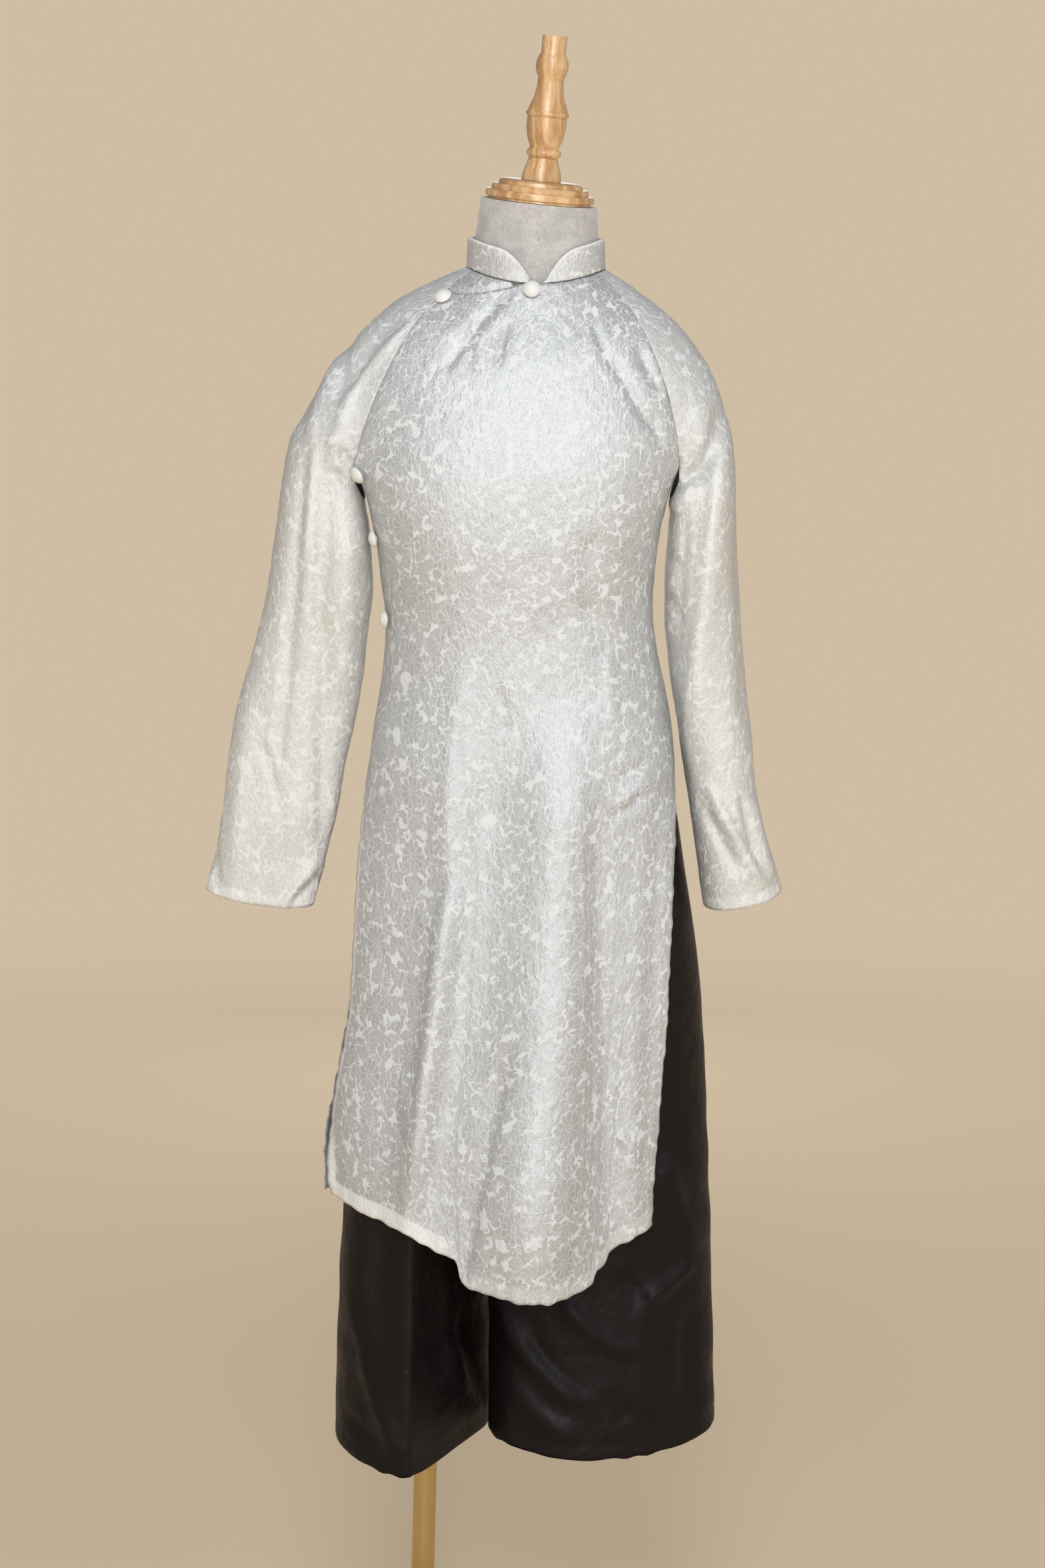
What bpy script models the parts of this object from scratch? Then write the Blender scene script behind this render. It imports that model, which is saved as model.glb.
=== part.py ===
"""Ao dai on a dress form: a slit silk tunic over wide satin trousers.

Metres, +Z up. The front faces -Y and +X is the wearer's left. The origin is the middle of the
stand's base, on the floor. Every cloth piece is a wall of even thickness around an open loft.
"""
import math
from collections import namedtuple

import bmesh
import bpy
from mathutils import Matrix, Vector

# Cloth: walls are measured from their middle surface
WALL = 0.0012
SEAM_GAP = 0.0006
ARMPIT_GAP = 0.0019
NECK_START = 0.003
COLLAR_LIFT = 0.0005
COLLECTION = "ao_dai_on_dress_form"

# Neck of the form, its turned cap and finial, all leaning to the wearer's left and forward
NECK_X = 0.1265
LEAN_SIDE = math.radians(5.6)
LEAN_FORWARD = math.radians(6.0)
NECK_TOP = Vector((0.1295, -0.004, 1.5905))
CAP_HEIGHT = 0.021
CAP_SEAT = 0.0006
PART_GAP = 0.0003

# Stand
POLE_RADIUS = 0.0125
POLE_LEAN = 0.028
TORSO_FLOOR = 0.860
BASE_RADIUS = 0.200
BASE_THICKNESS = 0.012
SOCKET_RADIUS = 0.021
SOCKET_HEIGHT = 0.045

# Collar: its height, half the gap at the front, and how far its corners are rounded off
COLLAR_HEIGHT = 0.031
COLLAR_OPENING = 0.0075
COLLAR_ROUNDING = 0.030
COLLAR_CORNER = 0.16
COLLAR_SIDE = 0.0715
COLLAR_MIDDLE = 0.1285

# Buttons on the front's edge: place across the front and down it, and an extra lift off a fold
BUTTON_RADIUS = 0.0092
BUTTON_DEPTH = 0.0085
SHANK_RADIUS = 0.0035
BUTTON_SKIRT = 0.0035
Button = namedtuple("Button", "name across down lift")
BUTTONS = [
    Button("button_neck", 0.478, 0.040, 0.0),
    Button("button_shoulder", 0.035, 0.215, 0.0),
    Button("button_underarm", 0.055, 0.965, 0.0),
    Button("button_side_upper", 0.085, 2.052, 0.0003),
    Button("button_side_waist", 0.090, 2.166, 0.0012),
]

# Underlap: share of the front that it reaches across, and how far it lies under the front
UNDERLAP_REACH = 0.40
UNDERLAP_TUCK = 2.2 * WALL

# Yoke rings, from the collar seam over the shoulders to the armholes. Columns: share of the way
# down, x and height of the shoulder line on the right and left, y and height of the middle of the
# front and back, and how near the shoulder the raglan seams lie (1 on it, 0 at the middle)
Yoke = namedtuple("Yoke", "down right right_z left left_z front front_z back back_z seam")
YOKE = [
    Yoke(0.0, 0.0545, 1.5240, 0.1985, 1.5220, -0.068, 1.506, 0.062, 1.536, 0.900),
    Yoke(0.2, 0.0130, 1.5080, 0.2340, 1.4985, -0.083, 1.470, 0.079, 1.502, 0.846),
    Yoke(0.4, -0.0300, 1.4840, 0.2680, 1.4740, -0.101, 1.430, 0.093, 1.466, 0.800),
    Yoke(0.6, -0.0700, 1.4490, 0.2990, 1.4500, -0.114, 1.390, 0.104, 1.426, 0.773),
    Yoke(0.8, -0.0960, 1.4050, 0.3180, 1.4130, -0.121, 1.350, 0.110, 1.386, 0.760),
    Yoke(1.0, -0.1210, 1.3480, 0.3250, 1.3560, -0.124, 1.308, 0.113, 1.342, 0.720),
]

# Tunic body, from the underarm to the hem. Edges are the side seams, and free below the slits.
Body = namedtuple("Body", "z right left front back edge_right edge_left back_right back_left")
BODY = [
    Body(1.285, -0.0480, 0.2620, -0.123, 0.112, 0.000, 0.000, -0.0480, 0.2620),
    Body(1.245, -0.0405, 0.2540, -0.121, 0.108, 0.000, 0.000, -0.0405, 0.2540),
    Body(1.200, -0.0345, 0.2495, -0.116, 0.103, 0.000, 0.000, -0.0345, 0.2495),
    Body(1.160, -0.0305, 0.2485, -0.111, 0.100, 0.000, 0.000, -0.0305, 0.2485),
    Body(1.110, -0.0335, 0.2570, -0.109, 0.103, 0.000, 0.000, -0.0335, 0.2570),
    Body(1.060, -0.0420, 0.2680, -0.113, 0.110, 0.000, 0.000, -0.0420, 0.2680),
    Body(1.010, -0.0490, 0.2720, -0.119, 0.117, -0.016, -0.024, -0.0490, 0.2740),
    Body(0.950, -0.0570, 0.2720, -0.124, 0.123, -0.032, -0.054, -0.0570, 0.2740),
    Body(0.850, -0.0640, 0.2675, -0.129, 0.129, -0.048, -0.078, -0.0640, 0.2710),
    Body(0.750, -0.0700, 0.2630, -0.133, 0.132, -0.056, -0.088, -0.0740, 0.2700),
    Body(0.660, -0.0860, 0.2560, -0.137, 0.135, -0.058, -0.092, -0.0900, 0.2680),
    Body(0.600, -0.0905, 0.2515, -0.141, 0.138, -0.056, -0.096, -0.1030, 0.2650),
    Body(0.550, -0.0840, 0.2480, -0.143, 0.140, -0.060, -0.098, -0.1050, 0.2620),
    Body(0.470, -0.0800, 0.2460, -0.145, 0.142, -0.062, -0.100, -0.1060, 0.2600),
]
SLIT_TOP = 1.045
BODY_ROUND = 2.4
CHEST_ROUND = 3.0
HANGING_ROUND = 3.2

# Hem heights across a panel, from the wearer's right edge (0) to the left edge (1)
Hem = namedtuple("Hem", "across front back")
HEM = [
    Hem(0.00, 0.556, 0.530), Hem(0.10, 0.546, 0.512), Hem(0.22, 0.536, 0.496),
    Hem(0.31, 0.517, 0.486), Hem(0.38, 0.503, 0.481), Hem(0.50, 0.480, 0.477),
    Hem(0.62, 0.471, 0.476), Hem(0.74, 0.481, 0.482), Hem(0.83, 0.496, 0.492),
    Hem(0.91, 0.515, 0.508), Hem(1.00, 0.532, 0.526),
]

# Long folds: place across the panel at the top and at the hem, heights where they start and are
# full, half widths towards the right and left, and how far they stand out
Fold = namedtuple("Fold", "top low start full right_width left_width depth")
FRONT_FOLDS = [
    Fold(0.36, 0.24, 1.02, 0.72, 0.045, 0.12, 0.014),
    Fold(0.58, 0.60, 0.98, 0.50, 0.200, 0.19, 0.036),
    Fold(0.66, 0.86, 1.04, 0.80, 0.060, 0.06, -0.007),
    Fold(0.90, 0.95, 0.80, 0.60, 0.060, 0.05, 0.006),
]
BACK_FOLDS = [
    Fold(0.30, 0.22, 1.02, 0.60, 0.110, 0.10, 0.018),
    Fold(0.52, 0.55, 1.00, 0.55, 0.120, 0.13, 0.022),
    Fold(0.76, 0.84, 1.02, 0.65, 0.090, 0.09, 0.014),
]

# Sleeves below the armhole: inner and outer x, half depth, middle y
Sleeve = namedtuple("Sleeve", "z outer inner depth y")
SLEEVE_RIGHT = [
    Sleeve(1.318, -0.1300, -0.0560, 0.056, 0.000),
    Sleeve(1.260, -0.1435, -0.0535, 0.058, -0.002),
    Sleeve(1.190, -0.1550, -0.0520, 0.050, -0.006),
    Sleeve(1.140, -0.1665, -0.0530, 0.042, -0.008),
    Sleeve(1.070, -0.1870, -0.0600, 0.034, -0.012),
    Sleeve(1.010, -0.1960, -0.0740, 0.029, -0.016),
    Sleeve(0.960, -0.2030, -0.0820, 0.026, -0.020),
    Sleeve(0.915, -0.2100, -0.0940, 0.022, -0.022),
    Sleeve(0.870, -0.2215, -0.1080, 0.018, -0.024),
]
SLEEVE_LEFT = [
    Sleeve(1.318, 0.3280, 0.2700, 0.056, 0.000),
    Sleeve(1.260, 0.3360, 0.2660, 0.060, -0.002),
    Sleeve(1.190, 0.3410, 0.2610, 0.056, -0.006),
    Sleeve(1.140, 0.3440, 0.2630, 0.053, -0.008),
    Sleeve(1.070, 0.3510, 0.2720, 0.050, -0.012),
    Sleeve(1.010, 0.3555, 0.2810, 0.047, -0.016),
    Sleeve(0.960, 0.3610, 0.2890, 0.044, -0.020),
    Sleeve(0.915, 0.3730, 0.2960, 0.040, -0.022),
    Sleeve(0.870, 0.3860, 0.3030, 0.036, -0.024),
]
ARM_TABLES = {"right": SLEEVE_RIGHT, "left": SLEEVE_LEFT}
ARM_CORNER = math.radians(135)
ARM_ROUND_OUT = 2.1
ARM_ROUND_IN = 4.5
UNDERARM_Z = 1.290
CUFF_DIP = 0.014

# Trousers: hip sections to the crotch, then one section for each leg
Hips = namedtuple("Hips", "z right left middle front back")
HIPS = [
    Hips(1.084, -0.0220, 0.2440, 0.1110, -0.0980, 0.0940),
    Hips(1.050, -0.0350, 0.2600, 0.1100, -0.1030, 0.0995),
    Hips(1.000, -0.0420, 0.2680, 0.1080, -0.1070, 0.1050),
    Hips(0.950, -0.0480, 0.2760, 0.1060, -0.1090, 0.1070),
    Hips(0.880, -0.0530, 0.2860, 0.1030, -0.1110, 0.1090),
    Hips(0.760, -0.0600, 0.3020, 0.0960, -0.1120, 0.1100),
]
Leg = namedtuple("Leg", "z outer inner front back skew inner_round")
LEG_RIGHT = [
    Leg(0.840, -0.0560, 0.0970, -0.1060, 0.1060, 0.000, 2.10),
    Leg(0.740, -0.0620, 0.0890, -0.0980, 0.1010, 0.004, 2.00),
    Leg(0.600, -0.0740, 0.0810, -0.0960, 0.0980, 0.016, 1.70),
    Leg(0.450, -0.0850, 0.0780, -0.0980, 0.0970, 0.028, 1.45),
    Leg(0.270, -0.0910, 0.0790, -0.1000, 0.0960, 0.034, 1.35),
]
LEG_LEFT = [
    Leg(0.840, 0.2960, 0.1000, -0.1040, 0.1060, 0.000, 2.10),
    Leg(0.740, 0.3040, 0.0930, -0.0960, 0.1010, -0.004, 2.10),
    Leg(0.600, 0.3110, 0.0850, -0.0900, 0.0950, -0.014, 2.10),
    Leg(0.450, 0.3160, 0.0780, -0.0880, 0.0920, -0.024, 2.10),
    Leg(0.270, 0.3210, 0.0760, -0.0860, 0.0900, -0.030, 2.10),
]
LEG_TABLES = {"right": LEG_RIGHT, "left": LEG_LEFT}
LEG_CORNER = math.radians(135)
CROTCH_TOP = 0.840
CROTCH_DIP = 0.040
HEM_SAG = 0.016
HIP_ROUND = 2.3
LEG_ROUND = 2.1
LEG_HEM = {"right": 0.280, "left": 0.292}
PRESSED_CREASE = {"right": 0.014, "left": 0.006}
BAND_TOP = 1.112

# Torso below the yoke: half sizes about its middle line, clear of the cloth
Torso = namedtuple("Torso", "z middle half front back")
TORSO = [
    Torso(1.415, 0.1150, 0.160, -0.094, 0.088),
    Torso(1.370, 0.1110, 0.158, -0.107, 0.098),
    Torso(1.300, 0.1070, 0.149, -0.112, 0.100),
    Torso(1.230, 0.1075, 0.140, -0.108, 0.093),
    Torso(1.160, 0.1090, 0.132, -0.099, 0.090),
    Torso(1.115, 0.1110, 0.129, -0.095, 0.090),
    Torso(1.080, 0.1110, 0.130, -0.094, 0.090),
    Torso(1.030, 0.1120, 0.139, -0.098, 0.095),
    Torso(0.980, 0.1110, 0.148, -0.102, 0.100),
    Torso(0.910, 0.1080, 0.148, -0.100, 0.100),
    Torso(TORSO_FLOOR, 0.1060, 0.144, -0.096, 0.096),
]
TORSO_SIDES = 32
TORSO_CLEARANCE = 0.0021
TORSO_PADDING = 0.0046
NECK_HALF = (0.0600, 0.0545)
NECK_FOOT = (0.0655, 0.0570)


def ease(value):
    """A smooth step from 0 to 1."""
    value = min(max(value, 0.0), 1.0)
    return value * value * (3.0 - 2.0 * value)


def mix(start, end, share):
    return start + (end - start) * share


def read(table, at):
    """The table's row at a value of its first column, smooth between the rows."""
    rows = sorted(table, key=lambda row: row[0])
    at = min(max(at, rows[0][0]), rows[-1][0])
    index = max(i for i in range(len(rows) - 1) if rows[i][0] <= at)
    before, after = rows[index], rows[index + 1]
    span = after[0] - before[0]
    share = (at - before[0]) / span
    values = [at]
    for column in range(1, len(before)):
        slopes = []
        for place in (index, index + 1):
            low, high = rows[max(place - 1, 0)], rows[min(place + 1, len(rows) - 1)]
            slopes.append((high[column] - low[column]) / (high[0] - low[0]) * span)
        cube, square = share ** 3, share ** 2
        values.append((2 * cube - 3 * square + 1) * before[column]
                      + (cube - 2 * square + share) * slopes[0]
                      + (3 * square - 2 * cube) * after[column]
                      + (cube - square) * slopes[1])
    return type(before)(*values)


def power(value, exponent):
    """A power that keeps the sign."""
    return math.copysign(abs(value) ** exponent, value)


def material(name, color, roughness, metallic=0.0):
    made = bpy.data.materials.new(name)
    made.use_nodes = True
    shader = made.node_tree.nodes["Principled BSDF"]
    shader.inputs["Base Color"].default_value = (*color, 1.0)
    shader.inputs["Roughness"].default_value = roughness
    shader.inputs["Metallic"].default_value = metallic
    return made


def place(name, mesh, surface):
    """Puts a mesh in the scene as one named piece with its material."""
    piece = bpy.data.objects.new(name, mesh)
    mesh.materials.append(surface)
    bpy.data.collections[COLLECTION].objects.link(piece)
    return piece


def cloth(name, rows, surface, closed=False):
    """A cloth wall around a loft. Rows that are longer than the first close into rings."""
    shape = bmesh.new()
    lines = [[shape.verts.new(point) for point in row] for row in rows]
    strip = 0 if closed else len(lines[0])
    for upper, lower in zip(lines, lines[1:]):
        count = len(upper)
        sides = count if count > strip else strip - 1
        for i in range(sides):
            after = (i + 1) % count
            shape.faces.new((upper[i], lower[i], lower[after], upper[after]))
    bmesh.ops.recalc_face_normals(shape, faces=shape.faces)
    mesh = bpy.data.meshes.new(name)
    shape.to_mesh(mesh)
    shape.free()
    mesh.shade_smooth()
    piece = place(name, mesh, surface)
    thick = piece.modifiers.new("Wall", "SOLIDIFY")
    thick.thickness = WALL
    thick.offset = 0.0
    thick.use_even_offset = True
    return piece


def solid(name, rings, surface):
    """A closed loft with flat ends."""
    shape = bmesh.new()
    lines = [[shape.verts.new(point) for point in ring] for ring in rings]
    count = len(lines[0])
    for upper, lower in zip(lines, lines[1:]):
        for i in range(count):
            after = (i + 1) % count
            shape.faces.new((upper[i], lower[i], lower[after], upper[after]))
    shape.faces.new(lines[0])
    shape.faces.new(lines[-1])
    bmesh.ops.recalc_face_normals(shape, faces=shape.faces)
    mesh = bpy.data.meshes.new(name)
    shape.to_mesh(mesh)
    shape.free()
    mesh.shade_smooth()
    return place(name, mesh, surface)


def turned(name, profile, surface, steps):
    """A turned piece: a profile of (radius, height) from its top down, spun about Z."""
    shape = bmesh.new()
    points = [shape.verts.new((radius, 0.0, height)) for radius, height in profile]
    for upper, lower in zip(points, points[1:]):
        shape.edges.new((upper, lower))
    mesh = bpy.data.meshes.new(name)
    shape.to_mesh(mesh)
    shape.free()
    piece = place(name, mesh, surface)
    spin = piece.modifiers.new("Turn", "SCREW")
    spin.axis = "Z"
    spin.steps = steps
    spin.render_steps = steps
    spin.use_merge_vertices = True
    spin.merge_threshold = 0.00005
    spin.use_smooth_shade = True
    return piece


def yoke_point(down, angle):
    """A point on the yoke. The angle is 0 on the right shoulder and 90 degrees at the front."""
    ring = read(YOKE, down)
    middle = (ring.right + ring.left) / 2
    half = (ring.left - ring.right) / 2
    roundness = mix(2.0, 2.5, down)
    side = math.cos(angle)
    ahead = math.sin(angle)
    x = middle - half * power(side, 2 / roundness)
    depth = -ring.front if ahead > 0 else ring.back
    y = -depth * power(ahead, 2 / roundness)
    middle_z = ring.front_z if ahead > 0 else ring.back_z
    side_z = ring.right_z if side > 0 else ring.left_z
    z = mix(middle_z, side_z, abs(power(side, 2 / roundness)) ** 2.2)
    return Vector((x, y, z))


def seam_angle(down):
    """Where the raglan seams cross a yoke ring."""
    return math.acos(read(YOKE, down).seam ** (mix(2.0, 2.5, down) / 2))


def arm_ring(table, z, angle):
    """A sleeve section. The angle is 0 on its outer side and 90 degrees at its front."""
    row = read(table, z)
    middle = (row.outer + row.inner) / 2
    half = (row.outer - row.inner) / 2
    side = math.cos(angle)
    inward = ease((z - 1.12) / 0.2)
    roundness = ARM_ROUND_OUT if side > 0 else mix(ARM_ROUND_OUT, ARM_ROUND_IN, inward)
    x = middle + half * power(side, 2 / roundness)
    y = row.y - row.depth * power(math.sin(angle), 2 / roundness)
    return Vector((x, y, z))


def armpit(side, angle):
    return arm_ring(ARM_TABLES[side], SLEEVE_RIGHT[0].z, angle)


def blend_to_armhole(down):
    return ease((down - 0.35) / 0.65)


def panel_armhole(across, facing):
    """The panel's row between the armholes: the body's section, drawn out to the seam's end."""
    side = "right" if across < 0.5 else "left"
    corner = armpit(side, facing * ARM_CORNER)
    body = BODY[0].right if side == "right" else BODY[0].left
    point = panel_body(across, BODY[0].z, facing)
    edge = abs(2 * across - 1) ** 5
    middle_z = YOKE[-1].front_z if facing > 0 else YOKE[-1].back_z
    point.x += (corner.x - body) * edge
    point.y += corner.y * edge
    point.z = mix(middle_z, corner.z, edge)
    return point


def panel_yoke(across, down, facing):
    """Front (facing 1) or back (-1) above the armholes, from the right seam to the left seam."""
    start = seam_angle(down)
    upper = yoke_point(down, facing * mix(start, math.pi - start, across))
    return upper.lerp(panel_armhole(across, facing), blend_to_armhole(down))


def fold_depth(folds, across, z):
    """How far the long folds stand out at a point of a panel."""
    total = 0.0
    for fold in folds:
        grown = ease((fold.start - z) / (fold.start - fold.full))
        middle = mix(fold.top, fold.low, min(max((fold.start - z) / (fold.start - 0.5), 0.0), 1.0))
        offset = across - middle
        width = fold.left_width if offset > 0 else fold.right_width
        total += fold.depth * grown * math.exp(-(offset / width) ** 2)
    return total


def panel_body(across, z, facing):
    """Front or back below the armholes, with side seams above the slits and free edges below."""
    row = read(BODY, z)
    right, left = (row.right, row.left) if facing > 0 else (row.back_right, row.back_left)
    depth = row.front if facing > 0 else row.back
    edge = facing * min(mix(row.edge_right, row.edge_left, across), 0.0)
    turn = math.pi * across
    roundness = mix(BODY_ROUND, CHEST_ROUND, ease((z - 1.17) / 0.115))
    wrapped = (1 - power(math.cos(turn), 2 / roundness)) / 2
    free = ease((SLIT_TOP - z) / 0.15)
    x = mix(right, left, mix(wrapped, across, 0.85 * free))
    folds = FRONT_FOLDS if facing > 0 else BACK_FOLDS
    bow = math.sin(turn) ** (2 / mix(roundness, HANGING_ROUND, free))
    return Vector((x, mix(edge, depth, bow) - facing * fold_depth(folds, across, z), z))


def panel_point(across, down, facing):
    """A point of a panel: down is 0 to 1 on the yoke, 1 to 2 by the armhole, 2 to 3 below."""
    if down <= 1.0:
        return panel_yoke(across, down, facing)
    under = panel_body(across, BODY[0].z, facing)
    if down <= 2.0:
        edge = abs(2 * across - 1) ** 6
        under.z = mix(under.z, UNDERARM_Z, edge)
        return panel_armhole(across, facing).lerp(under, down - 1.0)
    hem = read(HEM, across)
    low = hem.front if facing > 0 else hem.back
    return panel_body(across, mix(BODY[0].z, low, down - 2.0), facing)


def front_top(across):
    """How far down the yoke the front's top edge lies: it dips towards the shoulder button."""
    return mix(NECK_START, 0.175, ease((0.46 - across) / 0.46))


def inset(row, gap):
    """Shortens a row of points at both ends."""
    first = row[0] + (row[1] - row[0]).normalized() * gap
    last = row[-1] + (row[-2] - row[-1]).normalized() * gap
    return [first, *row[1:-1], last]


def panel(name, facing, columns, body_rows, surface):
    steps = [0.14 * i for i in range(1, 7)] + [1.0, 1.5, 2.0]
    steps += [2.0 + ((i + 1) / body_rows) ** 0.95 for i in range(body_rows)]
    shares = [i / columns for i in range(columns + 1)]
    tops = [front_top(share) if facing > 0 else NECK_START for share in shares]
    rows = [[panel_point(share, top, facing) for share, top in zip(shares, tops)]]
    for step in steps:
        row = []
        for share, top in zip(shares, tops):
            down = mix(top, 1.0, step) if step < 1.0 else step
            row.append(panel_point(share, down, facing))
        rows.append(row)
    return cloth(name, [inset(row, SEAM_GAP / 2) for row in rows], surface)


def underlap(surface):
    """The right piece under the front, between the collar and the shoulder button."""
    columns = 9
    rows = []
    for step in range(4):
        row = []
        for i in range(columns + 1):
            across = UNDERLAP_REACH * i / columns
            edge = front_top(across)
            start = mix(NECK_START, edge + 0.03, ease((across - 0.33) / 0.07))
            down = mix(start, edge + 0.10, step / 3)
            point = panel_yoke(across, down, 1)
            axis = Vector((NECK_X, 0.0, point.z - 0.02))
            under = ease((down - edge + 0.05) / 0.05)
            row.append(point + (axis - point).normalized() * UNDERLAP_TUCK * under)
        rows.append(row)
    return cloth("underlap", [inset(row, SEAM_GAP / 2) for row in rows], surface)


def sleeve_rows(side, around, under, yoke_rows, tube_rows):
    """A raglan sleeve: a strip over the shoulder, then a tube that closes under the arm."""
    table = ARM_TABLES[side]
    rows = []
    for step in range(yoke_rows + 1):
        down = mix(NECK_START, 1.0, step / yoke_rows)
        corner = seam_angle(down)
        row = []
        for i in range(around + 1):
            share = 2 * i / around - 1
            angle = -corner * share
            upper = yoke_point(down, angle if side == "right" else math.pi - angle)
            lower = armpit(side, -ARM_CORNER * share)
            crown = YOKE[-1].right_z if side == "right" else YOKE[-1].left_z
            lower.z = mix(lower.z, crown, max(math.cos(ARM_CORNER * share), 0.0) ** 1.5)
            row.append(upper.lerp(lower, blend_to_armhole(down)))
        rows.append(inset(row, mix(SEAM_GAP / 2, ARMPIT_GAP, ease((down - 0.5) / 0.5))))
    last = rows.pop()
    rows.append(last + underarm_line(side, under, last))
    top_z = table[0].z
    for step in range(1, tube_rows + 1):
        z = mix(top_z, table[-1].z, (step / tube_rows) ** 0.95)
        ring = []
        for i in range(around + 1 + under):
            angle = ARM_CORNER - i * 2 * ARM_CORNER / around
            if i > around:
                angle = -ARM_CORNER - (i - around) * (2 * math.pi - 2 * ARM_CORNER) / (under + 1)
            point = arm_ring(table, z, angle)
            settled = ease((top_z - z) / 0.09)
            point.z += (1 - settled) * 0.030 * max(math.cos(angle), 0.0) ** 1.5
            point.z -= (1 - settled) * 0.022 * max(-math.cos(angle), 0.0)
            low = ease((0.93 - z) / 0.06)
            point.z += low * CUFF_DIP * (math.cos(angle) - math.sin(angle)) * 0.6
            ring.append(point)
        rows.append(ring)
    return rows


def underarm_line(side, under, last):
    """The armhole's underside, from the back seam to the front seam of a sleeve."""
    line = []
    body = BODY[0].right if side == "right" else BODY[0].left
    away = -1 if side == "right" else 1
    for i in range(1, under + 1):
        share = i / (under + 1)
        point = last[-1].lerp(last[0], share)
        dip = math.sin(math.pi * share)
        point.x = mix(point.x, body + away * SEAM_GAP * 6, dip)
        point.z = mix(point.z, UNDERARM_Z - 0.001, dip)
        line.append(point)
    return line


def collar(surface):
    """A mandarin collar: it stands on the neck seam and its front corners are rounded off."""
    columns = 34
    rows = [[], [], [], []]
    for i in range(columns + 1):
        turn = mix(-1.0, 1.0, i / columns)
        turn = math.copysign(abs(turn) ** 0.72, turn)
        angle = -math.pi / 2 + turn * (math.pi - math.asin(COLLAR_OPENING / COLLAR_SIDE))
        seam = yoke_point(0.0, angle)
        inner = Vector((NECK_X, -0.003, seam.z))
        seam += (inner - seam).normalized() * WALL / 2
        from_front = abs(seam.x - COLLAR_MIDDLE) if seam.y < -0.03 else 1.0
        grown = ease((from_front - COLLAR_OPENING) / COLLAR_ROUNDING)
        tall = COLLAR_HEIGHT * mix(COLLAR_CORNER, 1.0, grown)
        for level, row in enumerate(rows):
            share = level / (len(rows) - 1)
            point = seam + Vector((0.0, 0.0, COLLAR_LIFT + tall * share))
            point += (inner - seam).normalized() * WALL * share * tall / COLLAR_HEIGHT
            row.append(point)
    return cloth("collar", rows, surface)


def leg_rows(side, around, inside, hip_rows, tube_rows):
    """A trouser leg: half of the hips, then a tube that closes at the crotch."""
    table = LEG_TABLES[side]
    away = -1 if side == "right" else 1
    rows = []
    hem = LEG_HEM[side]
    levels = [mix(HIPS[0].z, CROTCH_TOP, i / hip_rows) for i in range(hip_rows + 1)]
    levels += [mix(CROTCH_TOP, hem, (i + 1) / tube_rows) for i in range(tube_rows)]
    for number, z in enumerate(levels):
        hips = read(HIPS, z)
        leg = read(table, z)
        outer = hips.right if side == "right" else hips.left
        settled = ease((0.90 - z) / 0.16)
        row = []
        last = around + 1 if number < hip_rows else around + 1 + inside
        for i in range(last):
            if i <= around:
                share = 1 - 2 * i / around
                turn = share * math.pi / 2
                x = hips.middle + away * SEAM_GAP / 2
                x += (outer - hips.middle) * power(math.cos(turn), 2 / HIP_ROUND)
                depth = -hips.front if turn > 0 else hips.back
                y = -depth * power(math.sin(turn), 2 / HIP_ROUND)
                upper = Vector((x, y, z))
                angle = share * LEG_CORNER
            else:
                share = (i - around) / (inside + 1)
                angle = -LEG_CORNER - share * 2 * (math.pi - LEG_CORNER)
                y = mix(hips.back, hips.front, share)
                upper = Vector((hips.middle + away * WALL, y, z))
            middle = (leg.outer + leg.inner) / 2
            half = (leg.outer - leg.inner) / 2
            ahead = math.sin(angle)
            roundness = leg.inner_round if ahead > 0 and math.cos(angle) < 0 else LEG_ROUND
            x = middle + half * power(math.cos(angle), 2 / roundness)
            depth = -leg.front if ahead > 0 else leg.back
            y = -depth * power(ahead, 2 / roundness)
            y += leg.skew * max(-math.cos(angle), 0.0)
            y -= PRESSED_CREASE[side] * settled * max(math.sin(angle), 0.0) ** 12
            point = upper.lerp(Vector((x, y, z)), settled)
            if number >= hip_rows:
                dip = 1 - ease((CROTCH_TOP - z) / 0.18)
                point.z -= CROTCH_DIP * dip * max(-math.cos(angle), 0.0) ** 0.7
            low = ease((0.45 - z) / 0.17)
            point.z -= HEM_SAG * low * max(math.sin(angle), 0.0) ** 2
            row.append(point)
        rows.append(row)
    return rows


def waistband(surface):
    """The trousers' band: a full ring around the waist."""
    around = TORSO_SIDES
    rows = []
    for z in (BAND_TOP, (BAND_TOP + HIPS[0].z) / 2, HIPS[0].z + SEAM_GAP):
        body = read(TORSO, z)
        hips = read(HIPS, HIPS[0].z)
        share = (BAND_TOP - z) / (BAND_TOP - HIPS[0].z)
        row = []
        for i in range(around):
            turn = 2 * math.pi * i / around
            side = power(math.cos(turn), 2 / HIP_ROUND)
            ahead = power(math.sin(turn), 2 / HIP_ROUND)
            tight = body.half + WALL
            half = mix(tight, (hips.left - hips.right) / 2, share)
            front = mix(body.front - WALL, hips.front, share)
            back = mix(body.back + WALL, hips.back, share)
            depth = -front if ahead > 0 else back
            row.append(Vector((body.middle - half * side, -depth * ahead, z)))
        rows.append(row)
    return cloth("trouser_waistband", rows, surface, closed=True)


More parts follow.
